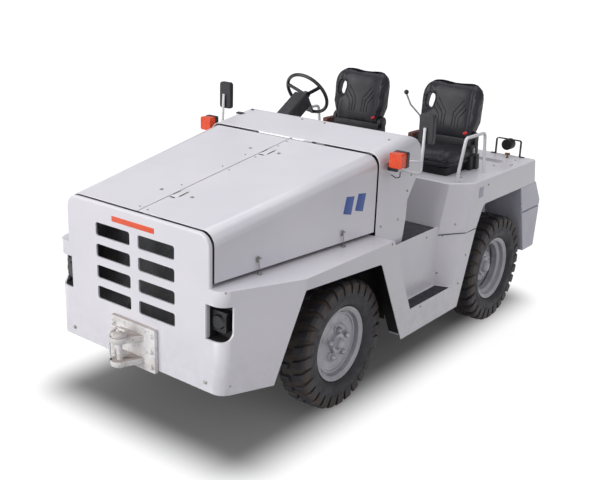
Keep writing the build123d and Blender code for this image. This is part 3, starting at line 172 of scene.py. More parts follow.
finishes = {  # a grain is its kind, scale, strength and depth in metres, and what it runs along
    "bodyEnamel": {
        "colour": "E3E1E6", "patch": "DBD9E0", "patchScale": 1.7, "roughness": (0.30, 0.40),
        "shader": {"Coat Weight": 0.25, "Coat Roughness": 0.12},
        "grain": (("noise", 260, 0.05, 0.0006), ("noise", 3.5, 0.05, 0.006)),
        "dirt": (roadDust, evenSpots("9B9489", 0.5, 60, (0.68, 0.8))),
    },
    "castEnamel": {
        "colour": "CFCEDA", "patch": "C6C5D2", "patchScale": 2.2, "roughness": (0.36, 0.5),
        "shader": {"Coat Weight": 0.15, "Coat Roughness": 0.2},
        "grain": (("noise", 190, 0.12, 0.001),), "dirt": (roadDust,),
    },
    "chassisBlack": {
        "colour": "1B1B1D", "patch": "242325", "patchScale": 6, "roughness": (0.5, 0.7),
        "grain": (("noise", 220, 0.15, 0.001),), "dirt": (dict(roadDust, high=1.1, colour="4A433B"),),
    },
    "castIron": {
        "colour": "2C2B2B", "patch": "3A3735", "patchScale": 9, "roughness": (0.55, 0.75),
        "shader": {"Metallic": 0.4},
        "grain": (("noise", 300, 0.3, 0.001),), "dirt": (dict(roadDust, high=1.1, colour="4A4038"),),
    },
    "rimSilver": {
        "colour": "BDBCC2", "patch": "ABA9B0", "patchScale": 9, "roughness": (0.34, 0.46),
        "shader": {"Metallic": 0.15, "Coat Weight": 0.1, "Coat Roughness": 0.3},
        "grain": (("noise", 240, 0.08, 0.0008),),
        "dirt": (dict(roadDust, low=0.1, high=0.9, most=0.45, least=0.2, scale=22, edge=(0.5, 0.8)),),
    },
    "nutSilver": {
        "colour": "D6D5DA", "patch": "8F8D92", "patchScale": 26, "roughness": (0.28, 0.4),
        "shader": {"Metallic": 0.25}, "grain": (("noise", 240, 0.08, 0.0008),),
    },
    "scuffedWhite": {
        "colour": "EDEBEC", "patch": "CFCBC8", "patchScale": 14, "roughness": (0.4, 0.6), "onTop": "A89C94",
        "grain": (("noise", 120, 0.2, 0.0012),), "dirt": (evenSpots("8A7462", 0.9, 32, (0.56, 0.7)),),
    },
    "railEnamel": {
        "colour": "E6E5E8", "patch": "DAD9DD", "patchScale": 9, "roughness": (0.28, 0.38),
        "shader": {"Coat Weight": 0.3, "Coat Roughness": 0.1}, "grain": (("noise", 160, 0.06, 0.0006),),
    },
    "plainSteel": {
        "colour": "A8A7A5", "patch": "8E8C89", "patchScale": 30, "roughness": (0.28, 0.45),
        "shader": {"IOR": 2.5, "Metallic": 1.0}, "grain": (("brushed", 90, 0.12, 0.0004, (1, 1, 9)),),
    },
    "agedBrass": {
        "colour": "8A6A3A", "patch": "5E4A30", "patchScale": 40, "roughness": (0.35, 0.55),
        "shader": {"IOR": 2.0, "Metallic": 0.9}, "grain": (("noise", 300, 0.15, 0.0005),),
    },
    "matRubber": {
        "colour": "2B2B33", "patch": "35353E", "patchScale": 5, "roughness": (0.62, 0.8),
        "grain": (("cells", 55, 0.4, 0.002),), "dirt": (evenSpots("77726B", 0.35, 24, (0.5, 0.8)),),
    },
    "stepGrit": {
        "colour": "26262C", "patch": "33333A", "patchScale": 12, "roughness": (0.75, 0.9),
        "grain": (("noise", 420, 0.6, 0.002),), "dirt": (evenSpots("7B7670", 0.45, 18, (0.52, 0.75)),),
    },
    "seatVinyl": {
        "colour": "1C1C23", "patch": "24242C", "patchScale": 4, "roughness": (0.38, 0.5),
        "shader": {"IOR": 1.42}, "grain": (("creases", 420, 0.25, 0.0006), ("noise", 16, 0.06, 0.004)),
    },
    "mouldedBlack": {
        "colour": "1E1E22", "patch": "26262B", "patchScale": 8, "roughness": (0.45, 0.6),
        "grain": (("noise", 520, 0.18, 0.0006),),
    },
    "wheelRimPlastic": {
        "colour": "1A1A1E", "patch": "212126", "patchScale": 10, "roughness": (0.3, 0.42),
        "shader": {"Coat Weight": 0.2, "Coat Roughness": 0.2}, "grain": (("noise", 380, 0.1, 0.0005),),
    },
    "amberLens": {
        "colour": "E2460A", "patch": "D23A06", "patchScale": 20, "roughness": (0.22, 0.34),
        "shader": {"IOR": 1.4, "Coat Weight": 0.25, "Coat Roughness": 0.1,
                   "Emission Color": hexColour("FF4A08"), "Emission Strength": 0.05},
        "grain": (("cells", 60, 0.7, 0.003), ("ridges", 55, 0.35, 0.002, "Z")),
    },
    "redLens": {
        "colour": "A81E1A", "patch": "921512", "patchScale": 20, "roughness": (0.16, 0.26),
        "shader": {"IOR": 1.49, "Coat Weight": 0.6, "Coat Roughness": 0.06},
        "grain": (("ridges", 60, 0.5, 0.003, "X"),),
    },
    "lampGlass": {
        "colour": "17181B", "patch": "222327", "patchScale": 12, "roughness": (0.18, 0.3),
        "shader": {"IOR": 1.45, "Coat Weight": 0.3, "Coat Roughness": 0.08},
        "grain": (("ridges", 45, 0.4, 0.003, "X"),),
    },
    "radiatorCore": {
        "colour": "5A5C60", "patch": "484A4E", "patchScale": 9, "roughness": (0.4, 0.6),
        "shader": {"IOR": 2.0, "Metallic": 0.7},
        "grain": (("ridges", 42, 0.9, 0.004, "Z"),), "dirt": (dict(roadDust, high=1.4, most=0.6, least=0.3),),
    },
    "orangePaint": {
        "colour": "E8552A", "patch": "DE4C22", "patchScale": 12, "roughness": (0.35, 0.45),
        "shader": {"Coat Weight": 0.2, "Coat Roughness": 0.15}, "grain": (("noise", 260, 0.05, 0.0004),),
    },
    "brownCard": {
        "colour": "6A3A30", "patch": "553028", "patchScale": 18, "roughness": (0.5, 0.7),
        "grain": (("noise", 200, 0.2, 0.001),),
    },
    "redPlastic": {
        "colour": "D8323C", "patch": "C42832", "patchScale": 20, "roughness": (0.3, 0.4),
        "grain": (("noise", 300, 0.08, 0.0004),),
    },
    "beltWebbing": {
        "colour": "18181B", "patch": "222226", "patchScale": 30, "roughness": (0.7, 0.85),
        "shader": {"Sheen Weight": 0.3, "Sheen Roughness": 0.5},
        "grain": (("ridges", 160, 0.5, 0.001, "DIAGONAL"),),
    },
    "sealRubber": {
        "colour": "202024", "patch": "2A2A2E", "patchScale": 10, "roughness": (0.6, 0.75),
        "grain": (("noise", 200, 0.15, 0.0006),),
    },
    "greyPlate": {
        "colour": "9A9BA8", "patch": "8D8E9B", "patchScale": 22, "roughness": (0.3, 0.45),
        "shader": {"IOR": 1.6, "Metallic": 0.4}, "grain": (("noise", 200, 0.05, 0.0004),),
    },
}
finishes["bluePaint"] = dict(finishes["orangePaint"], colour="1F4FA3", patch="1A4794")
# side bodies: body enamel with near-black painted shade inside the front arch
finishes["sideEnamelArchShade"] = dict(finishes["bodyEnamel"], underseal={
    "half": 0.7965, "top": 0.9535, "edge": noseY + 1.5935, "lean": -0.461, "colour": "121214"})
looks = {name: makeFinish(name, values) for name, values in finishes.items()}

tyreRubber = {
    "base": ("232328", "36353B"), "dust": "54473D", "roughness": (0.55, 0.8),
    "rising": (0.30, 0.355), "falling": (0.365, 0.38), "onTread": 0.12,  # radii where dust comes and goes
}


def makeTyreRubber(name, hubY):  # brown dust gathers on the shoulders, measured from the hub's axis
    values = tyreRubber
    material = bpy.data.materials.new(name)
    material.use_nodes = True
    tree = material.node_tree
    shader = tree.nodes["Principled BSDF"]
    shader.inputs["IOR"].default_value = 1.52
    place = addNode(tree, "TexCoord").outputs["Object"]
    offset = vectorOf(tree, "SUBTRACT", place, (0, hubY, hubZ))
    radius = vectorOf(tree, "LENGTH", vectorOf(tree, "MULTIPLY", offset, (0, 1, 1)))
    shoulder = multiply(tree, remap(tree, radius, *values["rising"], 0, 1),
                        remap(tree, radius, *values["falling"], 1, values["onTread"]))
    blotches = remap(tree, noiseOf(tree, place, 16, 8, 0.7), 0.36, 0.66, 0, 1)
    base = mixColour(tree, noiseOf(tree, place, 30), *(hexColour(code) for code in values["base"]))
    colour = mixColour(tree, multiply(tree, shoulder, blotches), base, hexColour(values["dust"]))
    tree.links.new(colour, shader.inputs["Base Color"])
    tree.links.new(remap(tree, blotches, 0, 1, *values["roughness"]), shader.inputs["Roughness"])
    rings = addNode(tree, "TexNoise", {"noise_dimensions": "1D"}, {"Scale": 90}, {"W": radius}).outputs["Fac"]
    ringBump = addNode(tree, "Bump", inputs={"Strength": 0.25, "Distance": 0.002}, links={"Height": rings})
    grain = addNode(tree, "Bump", inputs={"Strength": 0.3, "Distance": 0.0012},
                    links={"Height": noiseOf(tree, place, 240), "Normal": ringBump.outputs[0]})
    tree.links.new(grain.outputs[0], shader.inputs["Normal"])
    return material


print("materials made", len(looks))

# CAD nodes that keep their own shape, by finish, and how wide their edges are rounded
carried = {
    "bodyEnamel": ["nose_panel", "hood_left", "hood_right", "hood_rail", "cowl", "rear_cover", "rear_tub"],
    "sideEnamelArchShade": ["side_body_left", "side_body_right"],
    "castEnamel": ["rear_weight"],
    "chassisBlack": ["floor_pan", "chassis_frame", "front_axle", "rear_axle", "rear_lamp", "lamp_housings"],
    "castIron": ["engine", "knuckle_left", "knuckle_right"],
    "plainSteel": ["front_springs", "rear_springs", "tie_rod"],
    "matRubber": ["floor_mat"],
    "stepGrit": ["step_pads"],
    "mouldedBlack": ["steering_column", "dash_panel", "hand_lever", "signal_bases", "mirror_heads",
                     "seat_bases"],
    "wheelRimPlastic": ["steering_wheel"],
    "railEnamel": ["hand_rails", "mirror_arms"],
    "scuffedWhite": ["front_hitch", "rear_hitch", "hitch_pins"],
    "radiatorCore": ["radiator"],
    "rimSilver": ["rim_front_left", "rim_front_right", "rim_rear_left", "rim_rear_right"],
    "lampGlass": ["headlamps"],
    "amberLens": ["signal_lenses"],
    "redLens": ["tail_lamps"],
}
edgeWidth = {
    "nose_panel": 0.003, "cowl": 0.0015, "hood_left": 0.0015, "hood_right": 0.0015, "rear_weight": 0.008,
    "side_body_left": 0.0025, "side_body_right": 0.0025, "rear_cover": 0.0025, "signal_lenses": 0.006,
    "headlamps": 0.004, "tail_lamps": 0.006, "front_hitch": 0.004, "rear_hitch": 0.004, "dash_panel": 0.001,
    "engine": 0.012, "radiator": 0.004,
}


def roundEdges(obj, width):  # a bevel that leaves the faces flat
    weld = obj.modifiers.new("weld", "WELD")
    weld.merge_threshold = 0.00005
    bevel = obj.modifiers.new("edges", "BEVEL")
    bevel.width = width
    bevel.segments = 2
    bevel.limit_method = "ANGLE"
    bevel.angle_limit = math.radians(38)
    bevel.use_clamp_overlap = True
    bevel.harden_normals = True


for look, names in carried.items():
    for name in names:
        obj = nodes[name]
        obj.data.materials.clear()
        obj.data.materials.append(looks[look])
        if name in edgeWidth:
            roundEdges(obj, edgeWidth[name])
print("carried nodes finished")


# Mesh helpers
def placed(name, mesh):  # new object in the scene
    obj = bpy.data.objects.new(name, mesh)
    bpy.context.scene.collection.objects.link(obj)
    return obj


def meshObject(name, bm, *materials):  # object that takes over this bmesh
    mesh = bpy.data.meshes.new(name)
    bm.to_mesh(mesh)
    bm.free()
    for look in materials:
        mesh.materials.append(look)
    return placed(name, mesh)


def reshape(obj, edit):  # runs an edit on the object's own mesh
    bm = bmesh.new()
    bm.from_mesh(obj.data)
    edit(bm)
    bm.to_mesh(obj.data)
    bm.free()
    return obj


def makeObject(name, verts, faces, look):
    mesh = bpy.data.meshes.new(name)
    mesh.from_pydata([tuple(v) for v in verts], [], faces)
    mesh.validate()
    mesh.materials.append(look)
    obj = reshape(placed(name, mesh), lambda bm: bmesh.ops.recalc_face_normals(bm, faces=bm.faces))
    for face in mesh.polygons:
        face.use_smooth = True
    return obj


def evaluatedMesh(obj):
    graph = bpy.context.evaluated_depsgraph_get()
    return bpy.data.meshes.new_from_object(obj.evaluated_get(graph))


def applyModifiers(obj):  # puts their result into the object's own mesh
    mesh = evaluatedMesh(obj)
    obj.modifiers.clear()
    obj.data = mesh
    return obj


def sharpen(obj, degrees=35):  # smooth shading, with a crease where faces meet at more than this angle
    def edit(bm):
        for edge in bm.edges:
            edge.smooth = len(edge.link_faces) == 2 and edge.calc_face_angle(0) <= math.radians(degrees)
        for face in bm.faces:
            face.smooth = True
    return reshape(obj, edit)


def softBlock(name, size, centre, look, bevel=0.004, turn=(0, 0, 0)):  # rounded block, turned in degrees
    bm = bmesh.new()
    bmesh.ops.create_cube(bm, size=1)
    bmesh.ops.scale(bm, vec=size, verts=bm.verts)
    bmesh.ops.bevel(bm, geom=bm.edges[:], offset=bevel, segments=3, profile=0.5, affect="EDGES",
                    clamp_overlap=True)
    spin = Matrix.Translation(centre)
    for axis, angle in zip("XYZ", turn):
        spin = spin @ Matrix.Rotation(math.radians(angle), 4, axis)
    bmesh.ops.transform(bm, matrix=spin, verts=bm.verts)
    return sharpen(meshObject(name, bm, look))


def ringFaces(low, high, count):  # faces between two rings of vertices
    return [(low + i, low + (i + 1) % count, high + (i + 1) % count, high + i) for i in range(count)]


# Turned form: profile is (distance along the axis, radius). One that returns to its start stays a ring, and
# any other is closed with end faces
def lathe(name, profile, origin, axis, look, segments=48):
    ringOnly = profile[0] == profile[-1]
    axis = Vector(axis).normalized()
    aside = axis.orthogonal().normalized()
    third = axis.cross(aside)
    origin = Vector(origin)
    verts, faces = [], []
    for along, radius in profile:
        for step in range(segments):
            turn = 2 * math.pi * step / segments
            verts.append(origin + axis * along + (aside * math.cos(turn) + third * math.sin(turn)) * radius)
    for ring in range(len(profile) - 1):
        faces += ringFaces(ring * segments, (ring + 1) * segments, segments)
    if profile[0][1] > 0.0005 and not ringOnly:
        faces.append(tuple(range(segments)))
    if profile[-1][1] > 0.0005 and not ringOnly:
        faces.append(tuple(reversed(range(len(verts) - segments, len(verts)))))
    obj = makeObject(name, verts, faces, look)
    reshape(obj, lambda bm: bmesh.ops.remove_doubles(bm, verts=bm.verts, dist=0.00002))
    return sharpen(obj)


def roundedPath(points, radius, steps=6):  # its inner corners become arcs, of one radius or one each
    points = [Vector(p) for p in points]
    radii = radius if isinstance(radius, list) else [radius] * (len(points) - 2)
    path = [points[0]]
    for before, corner, after, radius in zip(points, points[1:], points[2:], radii):
        into, out = (before - corner).normalized(), (after - corner).normalized()
        half = into.angle(out) / 2
        reach = min(radius / math.tan(half), (before - corner).length * 0.45, (after - corner).length * 0.45)
        start, end = corner + into * reach, corner + out * reach
        for step in range(steps + 1):
            t = step / steps
            path.append(start * (1 - t) ** 2 + corner * 2 * t * (1 - t) + end * t * t)
    return path + [points[-1]]


def bar(name, points, radius, look, corner=0.03, sides=12):  # round bar along a bent path
    curve = bpy.data.curves.new(name, "CURVE")
    curve.dimensions = "3D"
    curve.bevel_depth = radius
    curve.bevel_resolution = sides // 4
    curve.use_fill_caps = True
    spline = curve.splines.new("POLY")
    path = roundedPath(points, corner)
    spline.points.add(len(path) - 1)
    for point, place in zip(spline.points, path):
        point.co = (*place, 1)
    temp = placed(name, curve)
    mesh = evaluatedMesh(temp)
    bpy.data.objects.remove(temp)
    mesh.materials.clear()
    mesh.materials.append(look)
    return sharpen(placed(name, mesh), 50)


def join(name, parts):  # one object from several, with their materials kept
    bm = bmesh.new()
    materials = []
    for part in parts:
        start = len(bm.faces)
        bm.from_mesh(part.data)
        bm.faces.ensure_lookup_table()
        for face in bm.faces[start:]:
            look = part.data.materials[face.material_index]
            if look not in materials:
                materials.append(look)
            face.material_index = materials.index(look)
    for part in parts:
        bpy.data.objects.remove(part)
    return meshObject(name, bm, *materials)


def mirrored(obj, name):  # copy on the other side of the vehicle
    def edit(bm):
        bmesh.ops.scale(bm, vec=(-1, 1, 1), verts=bm.verts)
        bmesh.ops.reverse_faces(bm, faces=bm.faces)
    return reshape(placed(name, obj.data.copy()), edit)


def repeatGroup():  # puts one source object on every point, turned by the point's own angles
    group = bpy.data.node_groups.new("repeatOnPoints", "GeometryNodeTree")
    for name, way, kind in (("Geometry", "INPUT", "Geometry"), ("Source", "INPUT", "Object"),
                            ("Finish", "INPUT", "Material"), ("Geometry", "OUTPUT", "Geometry")):
        group.interface.new_socket(name, in_out=way, socket_type="NodeSocket" + kind)
    kinds = {}
    for key, kind in (("in", "NodeGroupInput"), ("out", "NodeGroupOutput"),
                      ("info", "GeometryNodeObjectInfo"), ("turn", "FunctionNodeEulerToRotation"),
                      ("angles", "GeometryNodeInputNamedAttribute"),
                      ("place", "GeometryNodeInstanceOnPoints"), ("real", "GeometryNodeRealizeInstances"),
                      ("look", "GeometryNodeSetMaterial")):
        kinds[key] = group.nodes.new(kind)
    kinds["angles"].data_type = "FLOAT_VECTOR"
    kinds["angles"].inputs["Name"].default_value = "angles"
    for source, out, target, inside in (
            ("in", "Geometry", "place", "Points"), ("in", "Source", "info", "Object"),
            ("info", "Geometry", "place", "Instance"), ("angles", "Attribute", "turn", "Euler"),
            ("turn", "Rotation", "place", "Rotation"), ("place", "Instances", "real", "Geometry"),
            ("real", "Geometry", "look", "Geometry"), ("in", "Finish", "look", "Material"),
            ("look", "Geometry", "out", "Geometry")):
        group.links.new(kinds[source].outputs[out], kinds[target].inputs[inside])
    return group


repeats = repeatGroup()


def repeat(name, source, places, look):  # one object with a copy of source at each (point, Euler angles)
    mesh = bpy.data.meshes.new(name)
    mesh.from_pydata([tuple(point) for point, angles in places], [], [])
    store = mesh.attributes.new("angles", "FLOAT_VECTOR", "POINT")
    for item, (point, angles) in zip(store.data, places):
        item.vector = tuple(angles)
    mesh.materials.append(look)
    obj = placed(name, mesh)
    modifier = obj.modifiers.new("repeat", "NODES")
    modifier.node_group = repeats
    modifier["Socket_1"] = source
    modifier["Socket_2"] = look
    return sharpen(applyModifiers(obj), 40)


def facing(normal, spin=0):  # Euler angles that turn a source's +Z to this direction
    twist = Matrix.Rotation(math.radians(spin), 3, "Z").to_quaternion()
    return (Vector(normal).to_track_quat("Z", "Y") @ twist).to_euler()


washerSides = 20
headSizes = {
    # radius, height, sides, how far the top is domed
    "hex": (0.009, 0.008, 6, 0.0008),
    "button": (0.006, 0.004, 16, 0.0016),
    "small": (0.0042, 0.003, 12, 0.001),
    "washer": (0.0085, 0.004, 20, 0.002),
    "hitch": (0.013, 0.012, 6, 0.001),
}


def headSource(name, radius, height, sides, dome):  # a washer with a bolt head on it
    verts, faces = [], []
    for count, rings in ((washerSides, ((1.35, 0), (1.35, 0.22), (1.25, 0.3))),
                         (sides, ((1, 0.2), (1, 0.85), (0.86, 1), (0.4, 1 + dome / height)))):
        start = len(verts)
        for wide, high in rings:
            for step in range(count):
                turn = 2 * math.pi * step / count
                verts.append((radius * wide * math.cos(turn), radius * wide * math.sin(turn), height * high))
        for low in range(start, len(verts) - count, count):
            faces += ringFaces(low, low + count, count)
        faces.append(tuple(range(len(verts) - count, len(verts))))
    obj = makeObject(name, verts, faces, looks["plainSteel"])
    obj.hide_render = True
    return sharpen(obj, 40)


heads = {kind: headSource(kind + "Source", *sizes) for kind, sizes in headSizes.items()}
print("helpers ready")

# The hoods' top and side planes, measured from the nose panel's face
hoodPlanes = {"top": (1.233, 0.1569), "side": (0.537, 0.0898)}  # height or x at the face, its rise per metre
roofTurn = (8.917, 0, 0)  # the top's slope, in degrees


def roofZ(back):
    return hoodPlanes["top"][0] + hoodPlanes["top"][1] * back


def hoodSide(back):
    return hoodPlanes["side"][0] + hoodPlanes["side"][1] * back


def cadNode(base, x):  # a CAD node by its name, or the one of a left and right pair that lies on this side
    return nodes.get(base) or nodes[base + ("_left" if x > 0 else "_right")]


def surfaceAt(obj, point, direction):  # where a line through this point meets a CAD node, and the normal
    into = obj.matrix_world.inverted()
    start = Vector(point) - Vector(direction) * 0.15
    aim = (into.to_3x3() @ Vector(direction)).normalized()
    hit, place, normal, face = obj.ray_cast(into @ start, aim)
    if not hit:
        return None
    return obj.matrix_world @ place, (obj.matrix_world.to_3x3() @ normal).normalized()


# Fasteners of the sheet metal: points are (x, distance behind the nose, height), set down on the CAD surface
headwards, downwards, inwards = (0, 1, 0), (0, 0, -1), (-1, 0, 0)
fasteners = (
    # name, node, head, direction, on both sides, points
    ("noseBolts", "nose_panel", "hex", headwards, True, ((0.511, 0, 0.446),)),
    ("cheekDots", "nose_panel", "small", (-0.7, 0.7, 0), True,
     ((0.635, 0.05, 0.446), (0.624, 0.024, 0.951))),
    ("sideDots", "side_body", "button", inwards, True,
     ((0.8, 1.247, 0.942), (0.8, 1.632, 0.438))),
    ("stepDots", "side_body", "button", inwards, True,
     ((0.69, 1.839, 0.817), (0.69, 2.022, 0.790), (0.69, 2.0, 0.536), (0.75, 2.116, 0.455),
      (0.78, 2.19, 0.637))),
    ("coverDots", "rear_cover", "button", inwards, True,
     ((0.75, 2.103, 0.858), (0.8, 2.431, 1.075))),
    ("weightDots", "rear_weight", "button", inwards, True,
     ((0.8, 3.02, 0.815), (0.8, 2.99, 0.79), (0.8, 3.096, 0.508))),
    ("cowlDots", "cowl", "button", inwards, True,
     ((0.66, 1.56, 1.32), (0.66, 1.64, 1.26), (0.66, 1.606, 1.165), (0.66, 1.52, 1.002), (0.66, 1.33, 1.0))),
    ("cowlTopDots", "cowl", "button", downwards, False,
     ((0.571, 1.504, 1.5), (-0.14, 1.58, 1.5), (0.036, 1.585, 1.5), (-0.57, 1.504, 1.5))),
    ("deckDots", "rear_cover", "button", downwards, True,
     ((0.698, 2.19, 1.122), (0.660, 2.302, 1.122), (0.686, 2.566, 1.122), (0.662, 2.779, 1.122),
      (0.70, 3.05, 1.122))),
    ("hoodDots", "hood_left", "small", downwards, False,
     ((0.031, 0.695, 1.4), (0.021, 1.223, 1.5), (0.040, 0.067, 1.3), (0.024, 1.138, 1.5),
      (0.027, 0.927, 1.4))),
    ("hoodSpots", "hood_right", "small", downwards, False,
     ((-0.045, 0.724, 1.4), (-0.030, 0.078, 1.3), (-0.050, 0.40, 1.4), (-0.055, 0.93, 1.4))),
    ("hingeNutsLeft", "hood_left", "washer", downwards, False,
     ((0.127, 0.301, 1.4), (0.111, 1.037, 1.5))),
    ("hingeNutsRight", "hood_right", "washer", downwards, False,
     ((-0.102, 0.30, 1.4), (-0.102, 1.030, 1.5))),
)
spinPerMetre = 900  # turns each head differently, in degrees
for name, node, head, direction, both, points in fasteners:
    body = {"hood_left": "left_hood", "hood_right": "right_hood"}.get(node, "chassis")
    look = "greyPlate" if head == "washer" else "plainSteel"
    places = []
    for x, back, z in points:
        for hand in ((1, -1) if both else (1,)):
            aim = (direction[0] * hand, direction[1], direction[2])
            found = surfaceAt(cadNode(node, x * hand), (x * hand, noseY + back, z), aim)
            if found:
                places.append((found[0], facing(found[1], back * spinPerMetre)))
    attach(repeat(name, heads[head], places, looks[look]), body)
print("fasteners placed")

# Hood hinges: a bright plate on the left leaf with slots round it, each slot a thin black block on the plate
# as painted shade
hinges = {
    "plate": (0.052, 0.105, 0.0024), "x": 0.034, "backs": (0.305, 1.028), "rise": 0.0010,
    "slotRise": 0.0019, "slotHeight": 0.0016,
    "slots": (
        # x, shift along, length across, length along
        (0.0115, 0.0, 0.0055, 0.060),
        (0.0600, 0.002, 0.0060, 0.068),
        (0.0330, -0.056, 0.036, 0.0075),
    ),
}
plates = []
for back in hinges["backs"]:
    place = (hinges["x"], noseY + back, roofZ(back) + hinges["rise"])
    plates.append(softBlock("hingePlate", hinges["plate"], place, looks["railEnamel"], 0.001, roofTurn))
    # painted shade: black blocks stand in for the slots' dark openings
    for x, shift, across, along in hinges["slots"]:
        size = (across, along, hinges["slotHeight"])
        place = (x, noseY + back + shift, roofZ(back + shift) + hinges["slotRise"])
        plates.append(softBlock("hingeSlot", size, place, looks["mouldedBlack"], 0.0006, roofTurn))
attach(join("hinge_plates", plates), "left_hood")

# Draw latches: a rod with a T grip on the hood's side, and its catch on the shelf
latch = {
    "backs": (0.322, 0.98), "shelfZ": 0.957,
    "foot": (0.008, 0.022, 0.030), "footOut": 0.004, "footZ": 1.036,
    "rod": ((0.012, 1.040), (0.016, 0.985)), "rodRadius": 0.0035,  # (out from the hood, height) of its ends
    "gripOut": 0.014, "gripHalf": 0.014, "gripZ": 1.042, "gripRadius": 0.0045,
    "catch": (0.020, 0.020, 0.012), "catchOut": 0.018, "post": (0.010, 0.019), "postRadius": 0.004,
}
for hand, body in ((1, "left_hood"), (-1, "right_hood")):
    parts, catches = [], []
    for back in latch["backs"]:
        x, y, steel = hoodSide(back), noseY + back, looks["plainSteel"]
        footX, gripX, catchX = (hand * (x + latch[key]) for key in ("footOut", "gripOut", "catchOut"))
        rodEnds = [(hand * (x + out), y, z) for out, z in latch["rod"]]
        gripEnds = [(gripX, y + side * latch["gripHalf"], latch["gripZ"]) for side in (-1, 1)]
        postEnds = [(catchX, y, latch["shelfZ"] + rise) for rise in latch["post"]]
        parts += [softBlock("latchFoot", latch["foot"], (footX, y, latch["footZ"]), steel, 0.002),
                  bar("latchRod", rodEnds, latch["rodRadius"], steel),
                  bar("latchGrip", gripEnds, latch["gripRadius"], steel)]
        catchZ = latch["shelfZ"] + latch["catch"][2] / 2
        catches += [softBlock("catch", latch["catch"], (catchX, y, catchZ), steel, 0.003),
                    bar("catchPost", postEnds, latch["postRadius"], steel)]
    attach(join(f"latches_{body}", parts), body)
    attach(join(f"catches_{body}", catches), "chassis")
print("hood fittings made")

# Drip channel under the seam between the hoods and the cowl
dripValues = {"size": (1.20, 0.0095, 0.004), "back": 1.28, "drop": 0.009}
place = (0, noseY + dripValues["back"], roofZ(dripValues["back"]) - dripValues["drop"])
channel = softBlock("drip_channel", dripValues["size"], place, looks["railEnamel"], 0.001, roofTurn)
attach(channel, "chassis")

# Plain paint: a stripe on the nose, and two leaning bars on each hood's side
marks = {"stripe": (0.32, 0.0012, 0.030), "stripeAt": (-0.005, 1.168), "bar": (0.0012, 0.070, 0.110),
         "backs": (1.032, 1.135), "barZ": 1.19, "proud": 0.0004, "lean": -14, "taper": 5.13}
place = (marks["stripeAt"][0], noseY - marks["stripe"][1] / 2, marks["stripeAt"][1])
stripe = softBlock("nose_stripe", marks["stripe"], place, looks["orangePaint"], 0.0004)
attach(stripe, "chassis")
for hand, body in ((1, "left_hood"), (-1, "right_hood")):
    bars = []
    for back in marks["backs"]:
        place = (hand * (hoodSide(back) + marks["proud"]), noseY + back, marks["barZ"])
        turn = (marks["lean"], 0, -marks["taper"] * hand)
        bars.append(softBlock("sideBar", marks["bar"], place, looks["bluePaint"], 0.0004, turn))
    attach(join(f"side_bars_{body}", bars), body)

# Rubber seal in the seam between the rear cover and the side bodies: its path is (x, back)
sealValues = {"z": 0.797, "radius": 0.0035, "path": ((0.688, 1.992), (0.797, 2.163), (0.8, 2.30))}
for hand, name in ((1, "left"), (-1, "right")):
    path = [(hand * x, noseY + back, sealValues["z"]) for x, back in sealValues["path"]]
    seal = bar(f"cover_seal_{name}", path, sealValues["radius"], looks["sealRubber"], 0.004, 8)
    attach(seal, "chassis")
print("marks and seals made")

# Tyres: carcass turned about the hub, with a row of lugs over each shoulder
tyreValues = {
    "radius": 0.388, "carcass": 0.368, "half": 0.100, "bead": 0.059, "beadRadius": 0.2055, "lugs": 28,
    "wheels": (
        # name, body, middle of the tread, hub y
        ("front_left", "front_left_wheel", 0.617, frontHubY),
        ("rear_left", "rear_left_wheel", 0.684, rearHubY),
    ),
}


# Lug from near the tread's middle over the shoulder and down the side, at the top of the wheel, x outwards
def tyreLug(name, inner, outer, lean):
    base, top = tyreValues["carcass"] - 0.004, tyreValues["radius"]
    sections = (
        # x, foot radius, top radius, half length, shift round the wheel
        (inner, base, top - 0.0015, 0.016, -lean),
        ((inner + outer) / 2, base, top - 0.0008, 0.021, 0.0),
        (outer - 0.020, base, top - 0.004, 0.026, lean * 0.6),
        (outer - 0.004, base - 0.018, top - 0.020, 0.027, lean),
        (outer - 0.001, base - 0.052, top - 0.050, 0.025, lean),
        (outer - 0.006, base - 0.066, top - 0.078, 0.018, lean),
    )
    verts, faces = [], []
    for x, foot, head, reach, shift in sections:
        for r, grow in ((foot, 1.15), (head - 0.004, 1.0), (head, 0.86)):
            for hand in (-1, 1):
                angle = (shift + hand * reach * grow) / r
                verts.append((x, r * math.sin(angle), r * math.cos(angle)))
    for section in range(len(sections) - 1):
        a, b = section * 6, section * 6 + 6
        for low, high in ((0, 2), (2, 4), (5, 3), (3, 1), (4, 5), (1, 0)):
            faces.append((a + low, a + high, b + high, b + low))
    for a in (0, (len(sections) - 1) * 6):
        faces.append((a, a + 2, a + 4, a + 5, a + 3, a + 1))
    obj = makeObject(name, verts, faces, looks["matRubber"])
    bevel = obj.modifiers.new("edges", "BEVEL")
    bevel.width = 0.0022
    bevel.segments = 2
    bevel.limit_method = "ANGLE"
    return applyModifiers(obj)


def carcassProfile():  # (x from the middle, radius) of the tyre's body, bead to bead over the outside
    bead, half, tread = tyreValues["bead"], tyreValues["half"], tyreValues["carcass"]
    outside = [(bead, tyreValues["beadRadius"]), (bead + 0.001, 0.224), (half - 0.016, 0.243),
               (half - 0.008, 0.262), (half - 0.004, 0.285), (half - 0.006, 0.312), (half - 0.010, 0.338),
               (half - 0.017, 0.356), (half - 0.032, tread), (0.03, tread + 0.001)]
    return outside + [(-x, r) for x, r in reversed(outside)] + outside[:1]


